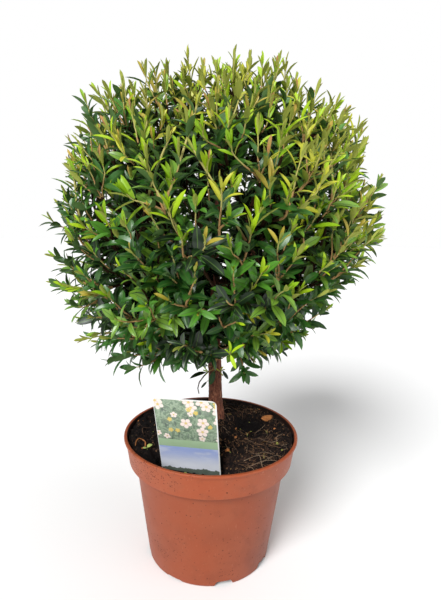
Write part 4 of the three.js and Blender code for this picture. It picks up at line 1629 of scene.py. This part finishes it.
class MYRTLE_OT_compost(bpy.types.Operator):
    """Fills the pot with crumbly compost, mounded where the stem stands"""

    bl_idname = "myrtle.compost"
    bl_label = "Compost"

    def execute(self, context):
        settings = context.scene.myrtle_compost
        reach = node_points("compost")
        away = np.hypot(reach[:, 0], reach[:, 1])
        edge = max(away) - 0.05 * MM
        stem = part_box("trunk")
        middle = np.array([(stem[0].x + stem[1].x) / 2, (stem[0].y + stem[1].y) / 2])
        flat, heights = shaped_bed(settings, *bed_grid(middle, edge), middle, edge)
        points, rows = [], []
        for z in sorted({round(float(z), 5) for z in reach[:, 2] if z < 105 * MM}):
            rows.append(len(points))
            points += ring_points(away[np.abs(reach[:, 2] - z) < 0.2 * MM].max(), z, SECTORS)
        bottom = points[0][2]
        for level in range(RINGS):
            rows.append(len(points))
            points += [(*flat[level, k], heights[level, k]) for k in range(SECTORS)]
        points += [(0, 0, bottom), (*middle, float(heights[-1].mean()))]
        faces = ring_faces(rows, SECTORS, len(points) - 2, len(points) - 1)
        bed = mesh_object("compost_bed", points, (), faces)
        bed.data.materials.append(compost_material("peat_compost", settings, 300))
        smooth(bed, 50)
        settle(bed, "compost", "compost")

        crumb = lumpy_ball("crumb", settings.seed, 0.8)
        tree = crumb_tree(compost_material("peat_crumbs", settings, 190))
        size, seed = settings.crumb, settings.seed
        scattered("compost_crumbs", bed, crumb, tree, settings.crumbs, size, seed)
        return {"FINISHED"}


# ---- What lies on the compost ----

STRAND_REACH = 77.5 * MM  # how far from the pot's axis a fibre lies
# Loose roots: where each starts and ends, its radius, and how high it arches, in millimetres.
LOOSE_ROOTS = [
    ((43, -36), (45, -70), 0.32, 8),
    ((34, -57), (64, -44), 0.24, 3),
    ((14, 54), (22, 58), 0.45, 2),
    ((30, -45), (56, -42), 0.20, 5),
]
# What is scattered over the compost: its name, its colour's setting, its size in millimetres, how
# many lie on a square metre, its height as a share of its width, and its seed.
SCATTERED = [
    ("bark_chips", "chip", 1.1, 1200, 0.35, 21),
    ("moss_bits", "moss", 0.8, 1800, 0.8, 22),
    ("pale_grit", "root", 0.5, 1500, 0.9, 23),
]


def lying(surface, x, y, above=0.0):
    """The point so far above the compost's surface at a place."""
    return np.array([x, y, straight_down(surface, x, y) + above])


def strand(surface, rng, start, bearing, size, radius, lift):
    """A fibre that wanders over the compost, with its ends down and its middle a little up."""
    x, y = start
    points = []
    for t in np.linspace(0, 1, 8):
        away = math.hypot(x, y)
        if away > STRAND_REACH:
            x, y = x * STRAND_REACH / away, y * STRAND_REACH / away
            bearing += 0.8
        points.append(lying(surface, x, y, radius * 0.8 + lift * math.sin(math.pi * t)))
        bearing += rng.normal() * 0.35
        x += math.cos(bearing) * size / 7
        y += math.sin(bearing) * size / 7
    return smoothed(points, 2), np.full(8, radius) * np.linspace(1, 0.55, 8)


def compost_spot(rng, to_right):
    """A place on the compost, clear of the pit and the label's foot, more often on the right."""
    while True:
        x, y = rng.uniform(-78 * MM, 78 * MM, 2)
        in_pit = math.hypot(x - PIT[0], y - PIT[1]) < 18 * MM
        before_label = -62 * MM < x < 22 * MM and y < -26 * MM
        if in_pit or before_label or math.hypot(x, y) >= 77 * MM:
            continue
        if rng.random() < smoothstep(-70 * MM, 50 * MM, x) * to_right + 1 - to_right:
            return x, y


def lay_strands(settings, rng, surface):
    """Fibres and thin roots strewn over the compost, and a few longer loose roots."""
    strands = []
    for _ in range(settings.fibres):
        size, radius = rng.uniform(5 * MM, 24 * MM), rng.uniform(0.09 * MM, 0.24 * MM)
        start, bearing = compost_spot(rng, 0.85), rng.uniform(0, 2 * math.pi)
        lift = size * rng.uniform(0.0, 0.14)
        path, girth = strand(surface, rng, start, bearing, size, radius, lift)
        strands.append((path, girth, float(rng.random() < 0.2 and start[0] > 0)))
    wall_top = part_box("pot")[1].z
    for *ends, radius, rise in LOOSE_ROOTS:
        path = np.linspace(*[lying(surface, x * MM, y * MM) for x, y in ends], 9)
        path[:, 2] = [straight_down(surface, x, y) for x, y, _ in path]
        path = smoothed(path, 3) + UP * np.sin(np.linspace(0, math.pi, 9))[:, None] * rise * MM
        path[:, 2] = np.minimum(path[:, 2], wall_top)
        strands.append((path, np.linspace(radius, radius * 0.6, 9) * MM, 1.0))
    fibre = speckled("coir_fibre", settings.fibre, 700)
    tree = twig_tree(fibre, speckled("fresh_root", settings.root, 500))
    tubes("compost_fibres", strands, tree, "compost", sides=4)


def lay_chip(settings, surface):
    """One large orange chip of bark, at the back on the right."""
    chip = lumpy_ball("orange_bark", 8, 0.32, 2)
    long, wide, thick = 0.0080, 0.0056, 0.0062
    turn = Matrix.Rotation(math.radians(30), 3, "Z") @ Matrix.Rotation(math.radians(8), 3, "X")
    spot = Vector(lying(surface, 61.5 * MM, 39 * MM, 0.8 * MM))
    for vertex in chip.data.vertices:
        x, y, z = vertex.co
        around = math.atan2(y, x)
        ragged = 1 + 0.16 * math.sin(3 * around + 1) + 0.12 * math.sin(5 * around)
        vertex.co = turn @ Vector((x * long * ragged, y * wide * ragged, z * thick)) + spot
    chip.data.materials.append(speckled("orange_bark", settings.chip, 240))
    smooth(chip, 40)
    settle(chip, "compost")


def lay_leaves(settings, rng, surface, crook):
    """Fallen leaves, and the two seed leaves on a seedling's crook."""
    shapes = [
        leaf_object("dry_broad", 0.30, 0.5, 0.3, 0.3, 0.66, 0.72),
        leaf_object("dry_curled", 0.24, 0.8, 0.5, -0.4, 0.66, 0.8),
        leaf_object("seed_leaf", 0.78, 0.1, 0.1, 0.0, 0.5, 0.45),
    ]
    lain = Growth()
    for number in range(settings.dry_leaves):
        bearing = rng.uniform(0, 2 * math.pi)
        axis = unit([math.cos(bearing), math.sin(bearing), rng.uniform(-0.05, 0.2)])
        x, y = compost_spot(rng, 0.4)
        place = lying(surface, x * 0.8, y * 0.8, 1.2 * MM)
        normal = unit(UP + rng.normal(size=3) * 0.3)
        size, kind = rng.uniform(9 * MM, 16 * MM), int(rng.integers(2))
        lain.add_leaf(place, axis, normal, size, kind, number % 2)
    for bearing, size in ((0.9, 5.8 * MM), (-2.2, 5.2 * MM)):
        axis = unit([math.cos(bearing), math.sin(bearing), 0.35])
        lain.add_leaf(crook, axis, UP, size, 2, 2)
    tan = plain("dry_leaf_tan", settings.dry_leaf, 0.7, 0.3)
    brown = plain("dry_leaf_brown", tuple(c * 0.5 for c in settings.dry_leaf), 0.7, 0.3)
    fresh = plain("seedling_leaf", settings.sprout, 0.45, 0.4)
    tree = spray_tree(shapes, [tan, brown, fresh], [tan, fresh], fresh)
    values = {piece.name: piece for piece in shapes}
    sprays("fallen_leaves", lain.leaves, tree, values, "compost")
    for piece in shapes:
        bpy.data.objects.remove(piece)


def lay_stalk(settings, surface, foot, crook):
    """The seedling's stalk, and a curl of peeled bark beside it."""
    turns = np.linspace(-0.9, 3.6, 14)
    curl = [
        lying(surface, (-66.5 + 4.5 * math.cos(a)) * MM, (-23.5 + 9.5 * math.sin(a)) * MM, 0.9 * MM)
        for a in turns
    ]
    chains = [
        (bezier(foot - UP * 2 * MM, UP, crook, UP, 6), np.full(6, 0.45 * MM), 0.0),
        (np.array(curl), np.linspace(0.8 * MM, 0.5 * MM, len(turns)), 1.0),
    ]
    peeled = speckled("peeled_bark", tuple(c * 0.7 for c in settings.chip), 400)
    tree = twig_tree(plain("seedling_stalk", settings.sprout, 0.6), peeled)
    tubes("seedling_stalk", chains, tree, "compost", sides=6)


class MYRTLE_OT_litter(bpy.types.Operator):
    """Lays fibres, roots, bark chips, moss, fallen leaves and a seedling on the compost"""

    bl_idname = "myrtle.litter"
    bl_label = "Litter"

    def execute(self, context):
        settings = context.scene.myrtle_compost
        rng = np.random.default_rng(settings.seed)
        bed = bpy.data.objects["compost_bed"]
        surface = surface_of(bed)
        lay_strands(settings, rng, surface)
        for name, tone, size, density, squash, seed in SCATTERED:
            shape = lumpy_ball("chip", seed, squash)
            material = speckled(name + "_colour", getattr(settings, tone), 900)
            tree = crumb_tree(material, "Scattered " + name)
            scattered(name, bed, shape, tree, density, size * MM, seed)
        lay_chip(settings, surface)
        foot = lying(surface, -59.7 * MM, -28.2 * MM)
        crook = foot + np.array([0.4, -0.5, 2.6]) * MM
        lay_leaves(settings, rng, surface, crook)
        lay_stalk(settings, surface, foot, crook)
        return {"FINISHED"}


# ---- Label ----


def stood_up(turn, lean, tilt):
    """How something that lies flat stands: raised and leaned, after a tilt, and then turned."""
    raised = Matrix.Rotation(math.pi / 2 + lean, 3, "X")
    return Matrix.Rotation(turn, 3, "Z") @ raised @ Matrix.Rotation(tilt, 3, "Z")


def printed_leaves(graph, flat, settings):
    """The ground of the upper print: leaves in several greens, lying three ways."""
    across, down, _ = graph.parts(flat)
    long, wide = 9.0, 2.8
    mottle = graph.noise(flat, 0.35, 4, 0.7)
    tone = graph.mix(graph.band(mottle, 0.40, 0.62), settings.leaves, settings.leaves_pale)
    for turned, seed in ((0.6, 3.0), (-0.5, 31.0), (1.5, 57.0)):
        cosine, sine = math.cos(turned), math.sin(turned)
        along = across * (cosine / long) - down * (sine / long) + seed
        blades = graph.vector(along, across * (sine / wide) + down * (cosine / wide), 0.0)
        lot = graph.parts(graph.cells(blades, 1.0, "Color", "2D"))
        away = graph.cells(blades, 1.0, "Distance", "2D")
        blade = (1 - graph.band(away, 0.26, 0.38)) * (lot[0] > 0.45)
        green = graph.mix(lot[1], settings.leaves_dark, settings.leaves_pale)
        tone = graph.mix(blade * 0.85, tone, green)
    return tone


def printed_flowers(graph, flat, tone, settings):
    """Five-petalled flowers of three sizes with yellow stamens, strewn over a ground."""
    across, down, _ = graph.parts(flat)
    for cell, rarity, seed, colour in (
        (13.5, 0.32, 4.3, settings.petals),
        (8.0, 0.86, 9.1, settings.petals),
        (6.0, 0.88, 2.2, settings.stamens),
    ):
        spot = graph.vector(across / cell + seed, down / cell + seed * 2, 0.0)
        parts = ("Distance", "Position", "Color")
        away, centre, lot = [graph.cells(spot, 1.0, part, "2D", 0.8) for part in parts]
        lot = graph.parts(lot)
        chosen = lot[0] > rarity
        dx, dy, _ = graph.parts(graph.vectors("SUBTRACT", spot, centre))
        angle = graph.maths("ARCTAN2", dy, dx) + lot[2] * 6.28
        wave = graph.maths("ABSOLUTE", graph.maths("COSINE", angle * 2.5))
        flower = (1 - graph.band(away - (0.26 + wave * 0.15), -0.02, 0.02)) * chosen
        shade = graph.band(wave, 0.0, 0.35) * graph.band(away, 0.0, 0.16)
        tone = graph.mix(flower, tone, graph.mix(shade, settings.petal_shade, colour))
        stamens = (1 - graph.band(away, 0.07, 0.11)) * chosen
        tone = graph.mix(stamens * 0.8, tone, settings.stamens)
    return tone


def printed_view(graph, flat, drop, settings):
    """The lower print: a sky that pales downwards, over low hills."""
    across, down, _ = graph.parts(flat)
    sky = graph.mix(graph.band(drop, 0.605, 0.85), settings.sky, settings.haze)
    cloud = graph.noise(graph.vector(across * 0.05, down * 0.13, 3.0), 1.0, 4)
    sky = graph.mix(graph.band(cloud, 0.5, 0.7) * 0.5, sky, settings.haze)
    ridge = graph.noise(graph.vector(across * 0.12, 0.0, 0.0), 1.0, 5, 0.65)
    land = graph.band(drop + ridge * 0.13, 0.942, 0.950)
    bushes = graph.mix(graph.noise(flat, 0.9, 3), settings.hills, settings.leaves)
    return graph.mix(land, sky, bushes)


def label_material(settings, turn, middle, top, face):
    """Printed card: flowers over leaves, a plain stripe, a view, and a pale edge round them."""
    material, graph, surface = shader("printed_card")
    place = graph.place()
    right, rise, front = [graph.vectors("DOT_PRODUCT", place, tuple(way)) for way in turn.col]
    # In millimetres: to the right of the card's middle, down from its top, and behind its face.
    across, down, behind = (right - middle) / MM, (top - rise) / MM, (face - front) / MM
    half, tall, edge = settings.width / MM / 2, settings.face / MM, settings.border / MM
    flat = graph.vector(across, down, 0.0)
    drop = down / tall
    tone = printed_flowers(graph, flat, printed_leaves(graph, flat, settings), settings)
    tone = graph.mix(graph.band(drop, 0.500, 0.503), tone, settings.band)
    view = printed_view(graph, flat, drop, settings)
    tone = graph.mix(graph.band(drop, 0.593, 0.596), tone, view)

    aside = graph.maths("ABSOLUTE", across + 0.35)
    printed = graph.band(aside, half - edge + 0.1, half - edge - 0.1)
    printed = printed * graph.band(down, edge - 0.1, edge + 0.1)
    printed = printed * graph.band(down, tall - edge + 0.1, tall - edge - 0.1)
    tone = graph.mix(printed * graph.band(behind, 0.2, 0.1), settings.card, tone)
    fade = graph.noise(flat, 0.12, 2)
    tone = graph.mix(fade * 0.16, tone, settings.haze)
    splashed = graph.noise(flat, 1.1, 4, 0.7) + graph.band(down, tall - 14, tall + 4) * 0.34
    grit = graph.band(splashed, 0.70, 0.78)
    tone = graph.mix(grit * 0.85, tone, settings.grit)
    feed(graph, surface, Base_Color=tone, Roughness=0.34 + grit * 0.4 + fade * 0.1)
    feed(graph, surface, Normal=relief(graph, graph.noise(flat, 0.06, 2), 2 * MM, 0.3))
    return material


class MYRTLE_OT_label(bpy.types.Operator):
    """Prints the plant label with a design of its own"""

    bl_idname = "myrtle.label"
    bl_label = "Label"

    def execute(self, context):
        settings = context.scene.myrtle_label
        turn = stood_up(settings.turn, settings.lean, settings.tilt)
        along = node_points("plant_label") @ np.array(turn)
        low, high = along.min(0), along.max(0)
        middle = float(low[0] + high[0]) / 2
        material = label_material(settings, turn, middle, float(high[1]), float(high[2]))
        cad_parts["plant_label"].material_slots[0].material = material
        return {"FINISHED"}


# ---- Stage ----


class MYRTLE_OT_stage(bpy.types.Operator):
    """Sets the pale floor, the soft light and the camera"""

    bl_idname = "myrtle.stage"
    bl_label = "Stage"

    def execute(self, context):
        settings = context.scene.myrtle_stage
        scene = context.scene
        floor = mesh_object("studio_floor", ring_points(6, 0, 96), (), [tuple(range(96))])
        material, graph, surface = shader("studio_white")
        mottle = graph.noise(graph.place(), 3) * 0.3
        tone = graph.mix(mottle, (0.93, 0.93, 0.93), (0.9, 0.9, 0.9))
        feed(graph, surface, Base_Color=tone, Roughness=0.9, Specular_IOR_Level=0.1)
        floor.data.materials.append(material)

        world = bpy.data.worlds.new("studio")
        scene.world = world
        world.use_nodes = True
        graph = Graph(world.node_tree)
        seen = graph.node("ShaderNodeLightPath", output="Is Camera Ray")
        sky = world.node_tree.nodes["Background"]
        mirrored = graph.node("ShaderNodeLightPath", output="Is Glossy Ray") * settings.mirrored
        strength = settings.surround + seen * (settings.backdrop - settings.surround) + mirrored
        feed(graph, sky, Color=(1, 1, 1), Strength=strength)
        lights = [
            ("key_light", (-0.55, -1.0, 0.92), 28, settings.key),
            ("fill_light", (1.1, -0.8, 0.6), 60, settings.key * 0.25),
            ("top_light", (0.1, 0.3, 1.0), 70, settings.top),
        ]
        for name, towards, softness, strength in lights:
            data = bpy.data.lights.new(name, "SUN")
            data.angle, data.energy = math.radians(softness), strength
            lamp = in_scene(name, data)
            lamp.rotation_euler = Vector(towards).to_track_quat("Z", "Y").to_euler()

        lens = bpy.data.cameras.new("camera")
        lens.lens, lens.sensor_width, lens.sensor_fit = settings.lens, 36, "AUTO"
        lens.clip_start, lens.clip_end = 0.01, 50
        camera = in_scene("camera", lens)
        turn = stood_up(-settings.yaw, -settings.pitch, settings.roll).to_4x4()
        camera.matrix_world = Matrix.Translation(Vector(settings.place)) @ turn
        scene.camera = camera
        scene.view_settings.view_transform = "Standard"
        return {"FINISHED"}


class MYRTLE_PT_panel(bpy.types.Panel):
    """Lists what the plant is made of"""

    bl_idname = "MYRTLE_PT_panel"
    bl_label = "Myrtle Standard"
    bl_space_type = "VIEW_3D"
    bl_region_type = "UI"
    bl_category = "Myrtle"

    def draw(self, context):
        for operator in OPERATORS:
            self.layout.operator(operator.bl_idname)
        for name, group in SETTINGS.items():
            box = self.layout.box()
            box.label(text=name.replace("myrtle_", ""))
            settings = getattr(context.scene, name)
            for field in group.__annotations__:
                box.prop(settings, field)


OPERATORS = [
    MYRTLE_OT_stage, MYRTLE_OT_limbs, MYRTLE_OT_crown, MYRTLE_OT_pot, MYRTLE_OT_compost,
    MYRTLE_OT_litter, MYRTLE_OT_label,
]
SETTINGS = {
    "myrtle_crown": MYRTLE_PG_crown,
    "myrtle_bark": MYRTLE_PG_bark,
    "myrtle_pot": MYRTLE_PG_pot,
    "myrtle_compost": MYRTLE_PG_compost,
    "myrtle_label": MYRTLE_PG_label,
    "myrtle_stage": MYRTLE_PG_stage,
}


def register():
    for kind in (*SETTINGS.values(), *OPERATORS, MYRTLE_PT_panel):
        bpy.utils.register_class(kind)
    for name, group in SETTINGS.items():
        setattr(bpy.types.Scene, name, bpy.props.PointerProperty(type=group))


def unregister():
    for name in SETTINGS:
        delattr(bpy.types.Scene, name)
    for kind in (MYRTLE_PT_panel, *reversed(OPERATORS), *SETTINGS.values()):
        bpy.utils.unregister_class(kind)


def main():
    register()
    for operator in OPERATORS:
        group, name = operator.bl_idname.split(".")
        getattr(getattr(bpy.ops, group), name)()


if __name__ == "__main__":
    main()
